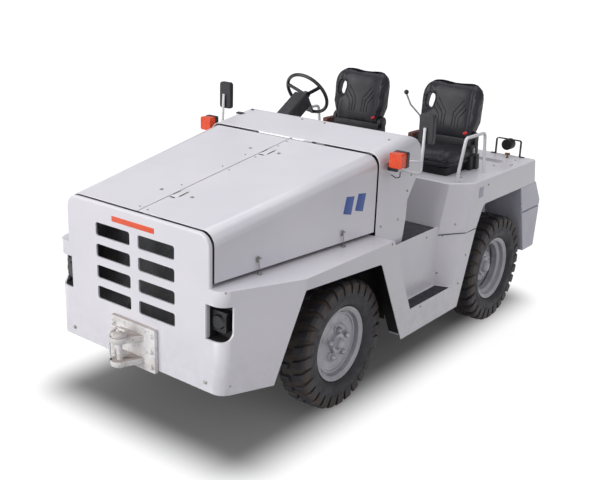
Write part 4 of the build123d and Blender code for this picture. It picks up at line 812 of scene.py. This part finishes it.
for name, body, middle, hubY in tyreValues["wheels"]:
    rubber = makeTyreRubber("tyreRubber_" + name, hubY)
    centre = Vector((middle, hubY, hubZ))
    outerLug = tyreLug("outerLug", 0.016, tyreValues["half"], 0.010)
    parts = [lathe("carcass", carcassProfile(), centre, (1, 0, 0), rubber, 96)]
    for half, shift in ((0, 0), (math.pi, 0.5)):  # the rows on both shoulders are half a pitch apart
        places = []
        for lug in range(tyreValues["lugs"]):
            turn = 2 * math.pi * (lug + shift) / tyreValues["lugs"]
            spin = Matrix.Rotation(turn, 3, "X") @ Matrix.Rotation(half, 3, "Z")
            places.append((centre, spin.to_euler()))
        parts.append(repeat("lugs", outerLug, places, rubber))
    bpy.data.objects.remove(outerLug)
    left = join("tyre_tread_" + name, parts)
    sharpen(left, 38)
    right = mirrored(left, "tyre_tread_" + name.replace("left", "right"))
    for tread, side in ((left, "left"), (right, "right")):
        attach(tread, body.replace("left", side))
        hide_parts("tyre_" + name.replace("left", side))
print("tyres made")

# Hub caps, and the nuts of the front wheels
wheelFittings = {
    "front": {"hubY": frontHubY, "cap": 0.689, "capRadius": 0.033, "body": "front_left_wheel",
              "nuts": {"count": 5, "start": 18, "face": 0.655, "pitch": 0.086, "radius": 0.0185}},
    "rear": {"hubY": rearHubY, "cap": 0.709, "capRadius": 0.044, "body": "rear_left_wheel"},
}
# Turned profiles: distance along, share of the radius
capProfile = ((-0.002, 1), (0.003, 0.97), (0.010, 0.80), (0.015, 0.5), (0.017, 0))
nutProfile = ((0, 1.25), (0.004, 1.22), (0.006, 1), (0.020, 0.95), (0.029, 0.7), (0.034, 0.35), (0.035, 0))
for name, values in wheelFittings.items():
    centre = Vector((0, values["hubY"], hubZ))
    profile = [(along, values["capRadius"] * share) for along, share in capProfile]
    parts = [lathe("cap", profile, centre + Vector((values["cap"], 0, 0)), (1, 0, 0), looks["rimSilver"], 40)]
    if "nuts" in values:
        nuts = values["nuts"]
        profile = [(along, nuts["radius"] * share) for along, share in nutProfile]
        nut = lathe("nutSource", profile, (0, 0, 0), (0, 0, 1), looks["nutSilver"], 20)
        places = []
        for index in range(nuts["count"]):
            turn = math.radians(nuts["start"]) + 2 * math.pi * index / nuts["count"]
            spot = Vector((nuts["face"], math.cos(turn) * nuts["pitch"], math.sin(turn) * nuts["pitch"]))
            places.append((centre + spot, facing((1, 0, 0))))
        parts.append(repeat("nuts", nut, places, looks["nutSilver"]))
        bpy.data.objects.remove(nut)
    left = join(f"wheel_fittings_{name}_left", parts)
    right = mirrored(left, f"wheel_fittings_{name}_right")
    for obj, side in ((left, "left"), (right, "right")):
        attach(obj, values["body"].replace("left", side))
print("wheel fittings made")


# Seats: padded cushions and backrests, blown up with cloth pressure, then grooves, ribs and seams
seat = {
    "x": 0.380, "front": noseY + 2.215, "bottom": 1.172, "length": 0.440, "width": 0.470, "height": 0.112,
    "lean": 6, "backY": noseY + 2.545, "backZ": 1.2921, "backShift": (0, 0.006, 0.004),
    "voxel": 0.006, "pressure": 4, "cap": 0.014,
    "seam": (0.010, 0.150, 0.010), "hollow": (0.014, 0.6), "frontRoll": 0.012, "waist": (0.07, -0.018, 0.007),
    "back": {"width": 0.462, "foot": 0.360, "shoulder": 0.150, "height": 0.412, "depth": 0.078,
             "corners": [0.05, 0.10, 0.15, 0.15, 0.10, 0.05], "slotX": -0.179, "slotZ": 0.262,
             "slotWidth": 0.060, "slotHeight": 0.114, "slotLean": 10,
             "dish": (0.026, 0.74), "seam": (0.006, 0.166, 0.006), "lumbar": (0.012, 0.10, 0.08),
             "thinTop": (0.030, 0.30, 0.112)},
    "ribRadius": 0.0045,
    "ribs": (
        # x of the low end, x of the high end, height of the bend, height of the top
        (0.031, 0.100, 0.200, 0.290),
        (0.054, 0.117, 0.182, 0.262),
        (0.078, 0.130, 0.165, 0.232),
    ),
    "ribFoot": 0.095,
}


# Closed form with a crowned top and sides that pull in: x across, y from front to rear, z up
def cushionForm(name, length, width, height, crown, look):
    columns, rows = 18, 18
    verts, faces = [], []
    for layer in (0, 1):
        for row in range(rows + 1):
            for column in range(columns + 1):
                u, v = column / columns * 2 - 1, row / rows * 2 - 1
                squeeze = 1 - 0.09 * (abs(u) * abs(v)) ** 3
                x, y = u * width / 2 * squeeze, v * length / 2 * squeeze
                edge = (1 - abs(u) ** 4) * (1 - abs(v) ** 4)
                top = height / 2 * (0.55 + 0.45 * edge) + crown * (u * u) * edge
                verts.append((x, y, top if layer else -height / 2))
    size = (columns + 1) * (rows + 1)
    for row in range(rows):
        for column in range(columns):
            a = row * (columns + 1) + column
            faces.append((a, a + 1, a + columns + 2, a + columns + 1))
            faces.append((size + a, size + a + columns + 1, size + a + columns + 2, size + a + 1))
    ring = list(range(columns + 1)) + [(row + 1) * (columns + 1) + columns for row in range(rows)]
    ring += [rows * (columns + 1) + columns - 1 - column for column in range(columns)]
    ring += [(rows - 1 - row) * (columns + 1) for row in range(rows - 1)]
    for a, b in zip(ring, ring[1:] + ring[:1]):
        faces.append((a, size + a, size + b, b))
    return makeObject(name, verts, faces, look)


def slotOutline(values, steps=20):  # leaning rounded slot to lift the backrest by
    lean = math.radians(values["slotLean"])
    slot = []
    for step in range(steps):
        turn = 2 * math.pi * step / steps
        c, s = math.cos(turn), math.sin(turn)
        x = math.copysign(abs(c) ** 0.7, c) * values["slotWidth"] / 2
        z = math.copysign(abs(s) ** 0.6, s) * values["slotHeight"] / 2
        slot.append((values["slotX"] + x * math.cos(lean) + z * math.sin(lean),
                     values["slotZ"] - x * math.sin(lean) + z * math.cos(lean)))
    return slot


def backForm(name, values, look):  # backrest, narrow at the foot: x across, y back, z up
    w, foot, h = values["width"] / 2, values["foot"] / 2, values["height"]
    shoulder = values["shoulder"]
    corners = [(0, 0), (foot, 0), (w, shoulder), (w, h), (-w, h), (-w, shoulder), (-foot, 0), (0, 0)]
    path = roundedPath([(x, 0, z) for x, z in corners], values["corners"], 10)
    outline = [(point.x, point.z) for point in path[:-1]]
    bm = bmesh.new()
    edges = []
    for loop in (outline, slotOutline(values)):
        ring = [bm.verts.new((x, 0, z)) for x, z in loop]
        edges += [bm.edges.new((a, b)) for a, b in zip(ring, ring[1:] + ring[:1])]
    bmesh.ops.triangle_fill(bm, use_beauty=True, edges=edges)
    sheet = bmesh.ops.extrude_face_region(bm, geom=bm.faces[:])
    moved = [item for item in sheet["geom"] if isinstance(item, bmesh.types.BMVert)]
    bmesh.ops.translate(bm, verts=moved, vec=(0, values["depth"], 0))
    bmesh.ops.recalc_face_normals(bm, faces=bm.faces)
    return meshObject(name, bm, look)


def inflate(obj, voxel, pressure, cap, frames=20):  # cloth pressure moves no point further than cap
    remesh = obj.modifiers.new("voxels", "REMESH")
    remesh.mode = "VOXEL"
    remesh.voxel_size = voxel
    applyModifiers(obj)
    before = [v.co.copy() for v in obj.data.vertices]
    cloth = obj.modifiers.new("cloth", "CLOTH")
    cloth.settings.use_pressure = True
    cloth.settings.uniform_pressure_force = pressure
    cloth.settings.effector_weights.gravity = 0
    cloth.settings.quality = 4
    cloth.point_cache.frame_start = 1
    cloth.point_cache.frame_end = frames
    scene = bpy.context.scene
    for step in range(1, frames + 1):
        scene.frame_set(step)
    graph = bpy.context.evaluated_depsgraph_get()
    after = [v.co.copy() for v in obj.evaluated_get(graph).data.vertices]
    obj.modifiers.clear()
    scene.frame_set(1)
    for vertex, old, new in zip(obj.data.vertices, before, after):
        move = new - old
        if move.length > cap:
            move = move.normalized() * cap
        vertex.co = old + move


def smoothOut(obj, rounds):
    smooth = obj.modifiers.new("smooth", "SMOOTH")
    smooth.iterations = rounds
    smooth.factor = 0.6
    applyModifiers(obj)
    for face in obj.data.polygons:
        face.use_smooth = True


def ridge(value, height, centre, width):
    return height * math.exp(-((value - centre) / width) ** 2)


def pressGrooves(co):  # seams, hollow and front roll of a cushion, and a seam round its waist
    side, top = abs(co.x) / (seat["width"] / 2), seat["height"] / 2
    depth, reach = seat["hollow"]
    pulled, level, width = seat["waist"]
    if co.z > 0:
        co.z -= ridge(abs(co.x), *seat["seam"])
        co.z -= depth * max(0, 1 - (side / reach) ** 2)
        co.z -= seat["frontRoll"] * max(0, -co.y / (seat["length"] / 2)) ** 3
    pull = 1 - pulled + pulled * min(1, abs(co.z - level) / width)
    return Vector((co.x * pull, co.y * pull, max(-top, min(top, co.z))))


def carveBack(co):  # bolsters, their seams, lumbar swell and thin top of a backrest
    values = seat["back"]
    side = abs(co.x) / (values["width"] / 2)
    depth, reach = values["dish"]
    most, start, rise = values["thinTop"]
    if co.y < values["depth"] / 2:
        co.y += depth * max(0, 1 - (side / reach) ** 4) + ridge(abs(co.x), *values["seam"])
        co.y -= ridge(co.z, *values["lumbar"]) * max(0, 1 - side ** 2)
        co.y += most * max(0, (co.z - start) / rise) ** 2
    return co


def padded(obj, rounds, rule):  # blows a form up, smooths it and presses its seams in
    inflate(obj, seat["voxel"], seat["pressure"], seat["cap"])
    smoothOut(obj, rounds)
    for vertex in obj.data.vertices:
        vertex.co = rule(vertex.co.copy())


def backRibs(surface):  # piping laid on the padding, in bent lines that mirror each other
    radius = seat["ribRadius"]
    ribs = []
    for hand in (-1, 1):
        for low, high, bend, top in seat["ribs"]:
            line = ((hand * high, top), (hand * low, bend), (hand * low, seat["ribFoot"]))
            points = roundedPath([(x, -0.06, z) for x, z in line], 0.02, 4)
            fine = []
            for a, b in zip(points, points[1:]):
                count = max(1, int((b - a).length / 0.006))
                fine += [a.lerp(b, i / count) for i in range(count)]
            laid = []
            for point in fine:
                hit, place, normal, index = surface.ray_cast(point, Vector((0, 1, 0)))
                if hit:
                    laid.append(place + Vector((0, radius * 0.25, 0)))
            ribs.append(bar("rib", laid, radius, looks["seatVinyl"], 0.002, 8))
    return ribs


for name, hand in (("left", 1), ("right", -1)):
    cushion = cushionForm(f"cushion_pad_{name}", seat["length"] - 0.02, seat["width"] - 0.02,
                          seat["height"] - 0.012, 0.012, looks["seatVinyl"])
    padded(cushion, 10, pressGrooves)
    middle = (hand * seat["x"], seat["front"] + seat["length"] / 2, seat["bottom"] + seat["height"] / 2)
    cushion.data.transform(Matrix.Translation(middle))
    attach(cushion, "chassis")
    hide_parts(f"seat_cushion_{name}")

    back = backForm(f"back_pad_{name}", seat["back"], looks["seatVinyl"])
    padded(back, 6, carveBack)
    ribs = backRibs(back)
    foot = Matrix.Translation((hand * seat["x"], seat["backY"], seat["backZ"]))
    lean = Matrix.Rotation(math.radians(-seat["lean"]), 4, "X")
    place = foot @ lean @ Matrix.Translation(seat["backShift"])
    for obj in [back] + ribs:
        obj.data.transform(place)
    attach(back, "chassis")
    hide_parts(f"seat_back_{name}")
    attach(join(f"back_ribs_{name}", ribs), "chassis")
print("seats made")

# What holds the backrests, the belts with their buckles, and the boxes beside the seats
seatTrim = {
    # kind: size, place from the seat's middle, the nose and the floor, look, turn
    "foot": ((0.40, 0.070, 0.070), (0, 2.588, 1.292), "mouldedBlack", (0, 0, 0)),
    "strip": ((0.075, 0.004, 0.010), (-0.070, 2.2125, 1.186), "plainSteel", (0, 0, 0)),
    "buckle": ((0.034, 0.016, 0.020), (0.152, 2.552, 1.368), "redPlastic", (0, -24, 0)),
    "stalk": ((0.024, 0.012, 0.085), (0.176, 2.566, 1.325), "mouldedBlack", (0, -18, 0)),
    "box": ((0.046, 0.115, 0.040), (-0.268, 2.610, 1.292), "brownCard", (0, 0, 0)),
    "boxEnd": ((0.042, 0.022, 0.034), (-0.268, 2.540, 1.294), "brownCard", (0, 0, 0)),
    "boxBase": ((0.054, 0.185, 0.148), (-0.268, 2.605, 1.1965), "mouldedBlack", (0, 0, 0)),
    "hip": ((0.046, 0.110, 0.100), (0.206, 2.575, 1.1735), "mouldedBlack", (0, 0, 0)),
}
recliner = {"x": 0.200, "back": 2.598, "z": 1.330,
            "profile": [(-0.016, 0.036), (-0.012, 0.044), (0.012, 0.044), (0.016, 0.036)]}
belt = {"width": 0.046, "thickness": 0.004,
        "path": ((0.222, 2.575, 1.330), (0.240, 2.585, 1.230), (0.244, 2.600, 1.1235))}
for name, hand in (("left", 1), ("right", -1)):
    seatX = hand * seat["x"]
    parts = []
    for kind, (size, (x, back, z), look, turn) in seatTrim.items():
        parts.append(softBlock(kind, size, (seatX + x, noseY + back, z), looks[look], 0.004, turn))
    for side in (-1, 1):
        place = (seatX + side * recliner["x"], noseY + recliner["back"], recliner["z"])
        parts.append(lathe("recliner", recliner["profile"], place, (1, 0, 0), looks["mouldedBlack"], 32))
    strap = [Vector((seatX + x, noseY + back, z)) for x, back, z in belt["path"]]
    for first, second in zip(strap, strap[1:]):
        run = second - first
        size = (belt["thickness"], belt["width"], run.length)
        turn = (-math.degrees(math.atan2(-run.y, -run.z)), 0, 0)
        parts.append(softBlock("strap", size, (first + second) / 2, looks["beltWebbing"], 0.0015, turn))
    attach(join(f"seat_trim_{name}", parts), "chassis")
print("belts and boxes made")

# Bright rod of the hand lever, under its black knob
leverValues = {"x": 0.060, "radius": 0.0066, "corner": 0.04,
               "path": ((2.790, 1.135), (2.790, 1.182), (2.740, 1.400), (2.590, 1.500), (2.524, 1.583))}
rod = [(leverValues["x"], noseY + back, z) for back, z in leverValues["path"]]
lever = bar("lever_rod", rod, leverValues["radius"], looks["nutSilver"], leverValues["corner"])
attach(lever, "chassis")

# Small fittings on the deck and cowl, and the lead of the left signal lamp; places are (x, back, height)
fittingBlocks = {
    # kind: size, place, look, bevel, turn
    "plate": ((0.0016, 0.060, 0.068), (0.8006, 2.334, 1.041), "greyPlate", 0.0005, (0, 0, 0)),
    # the slot is a thin black strip laid on the deck beside the pit
    "slot": ((0.006, 0.048, 0.0012), (0.745, 2.887, 1.1226), "mouldedBlack", 0.0004, (0, 0, 0)),
    "oval": ((0.052, 0.030, 0.008), (-0.600, 1.495, roofZ(1.495) + 0.014), "mouldedBlack", 0.003, roofTurn),
}
fittingLathes = {
    # kind: place, look, profile
    "knobStem": ((0.617, 3.086, 1.122), "agedBrass",
                 [(0, 0.010), (0.004, 0.010), (0.006, 0.006), (0.026, 0.006)]),
    "plug": ((-0.575, 1.594, roofZ(1.594) + 0.0112), "mouldedBlack",
             [(0, 0.011), (0.003, 0.011), (0.004, 0.008)]),
}
knobGrip = {"ends": ((0.600, 3.078, 1.152), (0.634, 3.094, 1.152)), "radius": 0.008}
lampWire = {
    "radius": 0.0028, "corner": 0.02,
    "path": ((0.742, 1.372, 1.340), (0.735, 1.385, 1.305), (0.700, 1.400, 1.290), (0.661, 1.412, 1.300)),
}


def fromNose(places):
    return [(x, noseY + back, z) for x, back, z in places]


fittings = []
for kind, (size, place, look, bevel, turn) in fittingBlocks.items():
    fittings.append(softBlock(kind, size, fromNose([place])[0], looks[look], bevel, turn))
for kind, (place, look, profile) in fittingLathes.items():
    fittings.append(lathe(kind, profile, fromNose([place])[0], (0, 0, 1), looks[look], 20))
fittings.append(bar("knobGrip", fromNose(knobGrip["ends"]), knobGrip["radius"], looks["agedBrass"]))
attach(join("small_fittings", fittings), "chassis")
route = fromNose(lampWire["path"])
wire = bar("lamp_wire", route, lampWire["radius"], looks["sealRubber"], lampWire["corner"], 8)
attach(wire, "chassis")

# Inner edge plate of each headlamp opening
lampEdge = {"size": (0.003, 0.026, 0.184), "x": 0.5125, "back": 0.0165, "z": 0.7805}
for name, hand in (("left", 1), ("right", -1)):
    place = (hand * lampEdge["x"], noseY + lampEdge["back"], lampEdge["z"])
    edge = softBlock(f"lamp_edge_{name}", lampEdge["size"], place, looks["bodyEnamel"], 0.0008)
    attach(edge, "chassis")
print("small fittings made")

# Tow hitch: painted bolts on its plate, a collar round the pin, a clip rod at the ear's tip
hitch = {
    "boltX": 0.146, "boltHeights": (0.418, 0.508, 0.598), "face": -0.0257, "pin": (0, -0.116, 0.586),
    "collar": [(0, 0.040), (0.004, 0.042), (0.020, 0.042), (0.026, 0.036), (0.030, 0.026), (0.030, 0.018)],
    "clip": ((-0.030, -0.152, 0.452), (-0.030, -0.156, 0.50), (-0.030, -0.156, 0.612),
             (-0.012, -0.135, 0.632), (0.0, -0.116, 0.634)),
    "clipRadius": 0.005, "tip": [(-0.010, 0.006), (0.010, 0.006)],
}
places = [((hand * hitch["boltX"], noseY + hitch["face"], z), facing((0, -1, 0), z * spinPerMetre))
          for hand in (-1, 1) for z in hitch["boltHeights"]]
white = looks["scuffedWhite"]
clip = fromNose(hitch["clip"])
parts = [repeat("plateBolts", heads["hitch"], places, white),
         lathe("collar", hitch["collar"], fromNose([hitch["pin"]])[0], (0, 0, 1), white, 36),
         bar("clipRod", clip, hitch["clipRadius"], white, 0.02, 8),
         lathe("clipTip", hitch["tip"], clip[0], (0, 0, 1), looks["sealRubber"], 16)]
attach(join("hitch_trim", parts), "chassis")
for source in heads.values():
    bpy.data.objects.remove(source)
print("hitch trim made")

# Stage: pale floor, soft sky and lamps. The camera sees the floor as white away from the vehicle's footprint,
# with a painted shadow under it: the floor's glow, seen by the camera and in reflections, falls to almost
# nothing under the footprint
stageValues = {
    "sky": 0.45, "skyColour": "FAFAFF", "floor": "8E8E8E", "floorHalf": 60,
    "shadowFootprint": (0.58, 1.50, 0), "shadowFade": 0.40, "lift": (0.02, 0.85),
    "lamps": (
        # name, where it shines from, angle in degrees, strength
        ("key", (-0.30, -0.93, 0.20), 50, 2.45),
        ("top", (-0.25, 0.10, 0.96), 60, 0.95),
        ("fill", (0.85, -0.20, 0.45), 70, 0.32),
    ),
}
reach = stageValues["floorHalf"]
corners = [(-reach, -reach, 0), (reach, -reach, 0), (reach, reach, 0), (-reach, reach, 0)]
floorMesh = bpy.data.meshes.new("floor")
floorMesh.from_pydata(corners, [], [(0, 1, 2, 3)])
floor = placed("floor", floorMesh)
floorLook = bpy.data.materials.new("paleFloorWithShadow")
floorLook.use_nodes = True
tree = floorLook.node_tree
shader = tree.nodes["Principled BSDF"]
for socket, value in (("Base Color", hexColour(stageValues["floor"])), ("Roughness", 1.0),
                      ("Specular IOR Level", 0.0), ("Emission Color", hexColour("FFFFFF"))):
    shader.inputs[socket].default_value = value
place = addNode(tree, "TexCoord").outputs["Object"]
# painted shadow: the glow grows with the distance from the vehicle's footprint, from least to most across the
# fade
outside = vectorOf(tree, "SUBTRACT", vectorOf(tree, "ABSOLUTE", place), stageValues["shadowFootprint"])
away = vectorOf(tree, "LENGTH", vectorOf(tree, "MAXIMUM", outside))
least, most = stageValues["lift"]
glowOutsideShadow = addNode(tree, "MapRange", {"interpolation_type": "SMOOTHSTEP"},
               {"From Max": stageValues["shadowFade"], "To Min": least, "To Max": most}, {"Value": away}).outputs[0]
rays = addNode(tree, "LightPath").outputs
seen = mathOf(tree, "MAXIMUM", rays["Is Camera Ray"], rays["Is Glossy Ray"])
tree.links.new(multiply(tree, seen, glowOutsideShadow), shader.inputs["Emission Strength"])
floorMesh.materials.append(floorLook)

world = bpy.data.worlds.new("studio")
bpy.context.scene.world = world
world.use_nodes = True
tree = world.node_tree
background = tree.nodes["Background"]
background.inputs["Color"].default_value = hexColour(stageValues["skyColour"])
cameraRay = addNode(tree, "LightPath").outputs["Is Camera Ray"]
tree.links.new(remap(tree, cameraRay, 0, 1, stageValues["sky"], 1), background.inputs["Strength"])

for name, source, angle, strength in stageValues["lamps"]:
    light = bpy.data.lights.new(name, "SUN")
    light.angle = math.radians(angle)
    light.energy = strength
    lamp = placed(name, light)
    lamp.rotation_euler = Vector(source).to_track_quat("Z", "Y").to_euler()

# Camera at the photograph's angle: angles in degrees, distances in metres, shift across and up, lens in mm
shot = {"azimuth": 37.3248, "elevation": 18.3640, "roll": 2.0001, "distance": 5.889197,
        "target": (0, 1.5 + noseY, 0.6), "shift": (-0.045878, 0.117994), "lens": 53.5146, "sensor": 36}
azimuth, elevation, roll = (math.radians(shot[key]) for key in ("azimuth", "elevation", "roll"))
back = Vector((math.sin(azimuth) * math.cos(elevation), -math.cos(azimuth) * math.cos(elevation),
               math.sin(elevation)))
right = (-back).cross(Vector((0, 0, 1))).normalized()
up = right.cross(-back)
right, up = right * math.cos(roll) + up * math.sin(roll), up * math.cos(roll) - right * math.sin(roll)
cameraData = bpy.data.cameras.new("camera")
cameraData.lens = shot["lens"]
cameraData.sensor_width = shot["sensor"]
camera = placed("camera", cameraData)
camera.matrix_world = Matrix((right, up, back)).transposed().to_4x4()
camera.location = (Vector(shot["target"]) + back * shot["distance"]
                   + right * shot["shift"][0] + up * shot["shift"][1])
bpy.context.scene.camera = camera
bpy.context.scene.view_settings.view_transform = "Standard"
print("stage set")
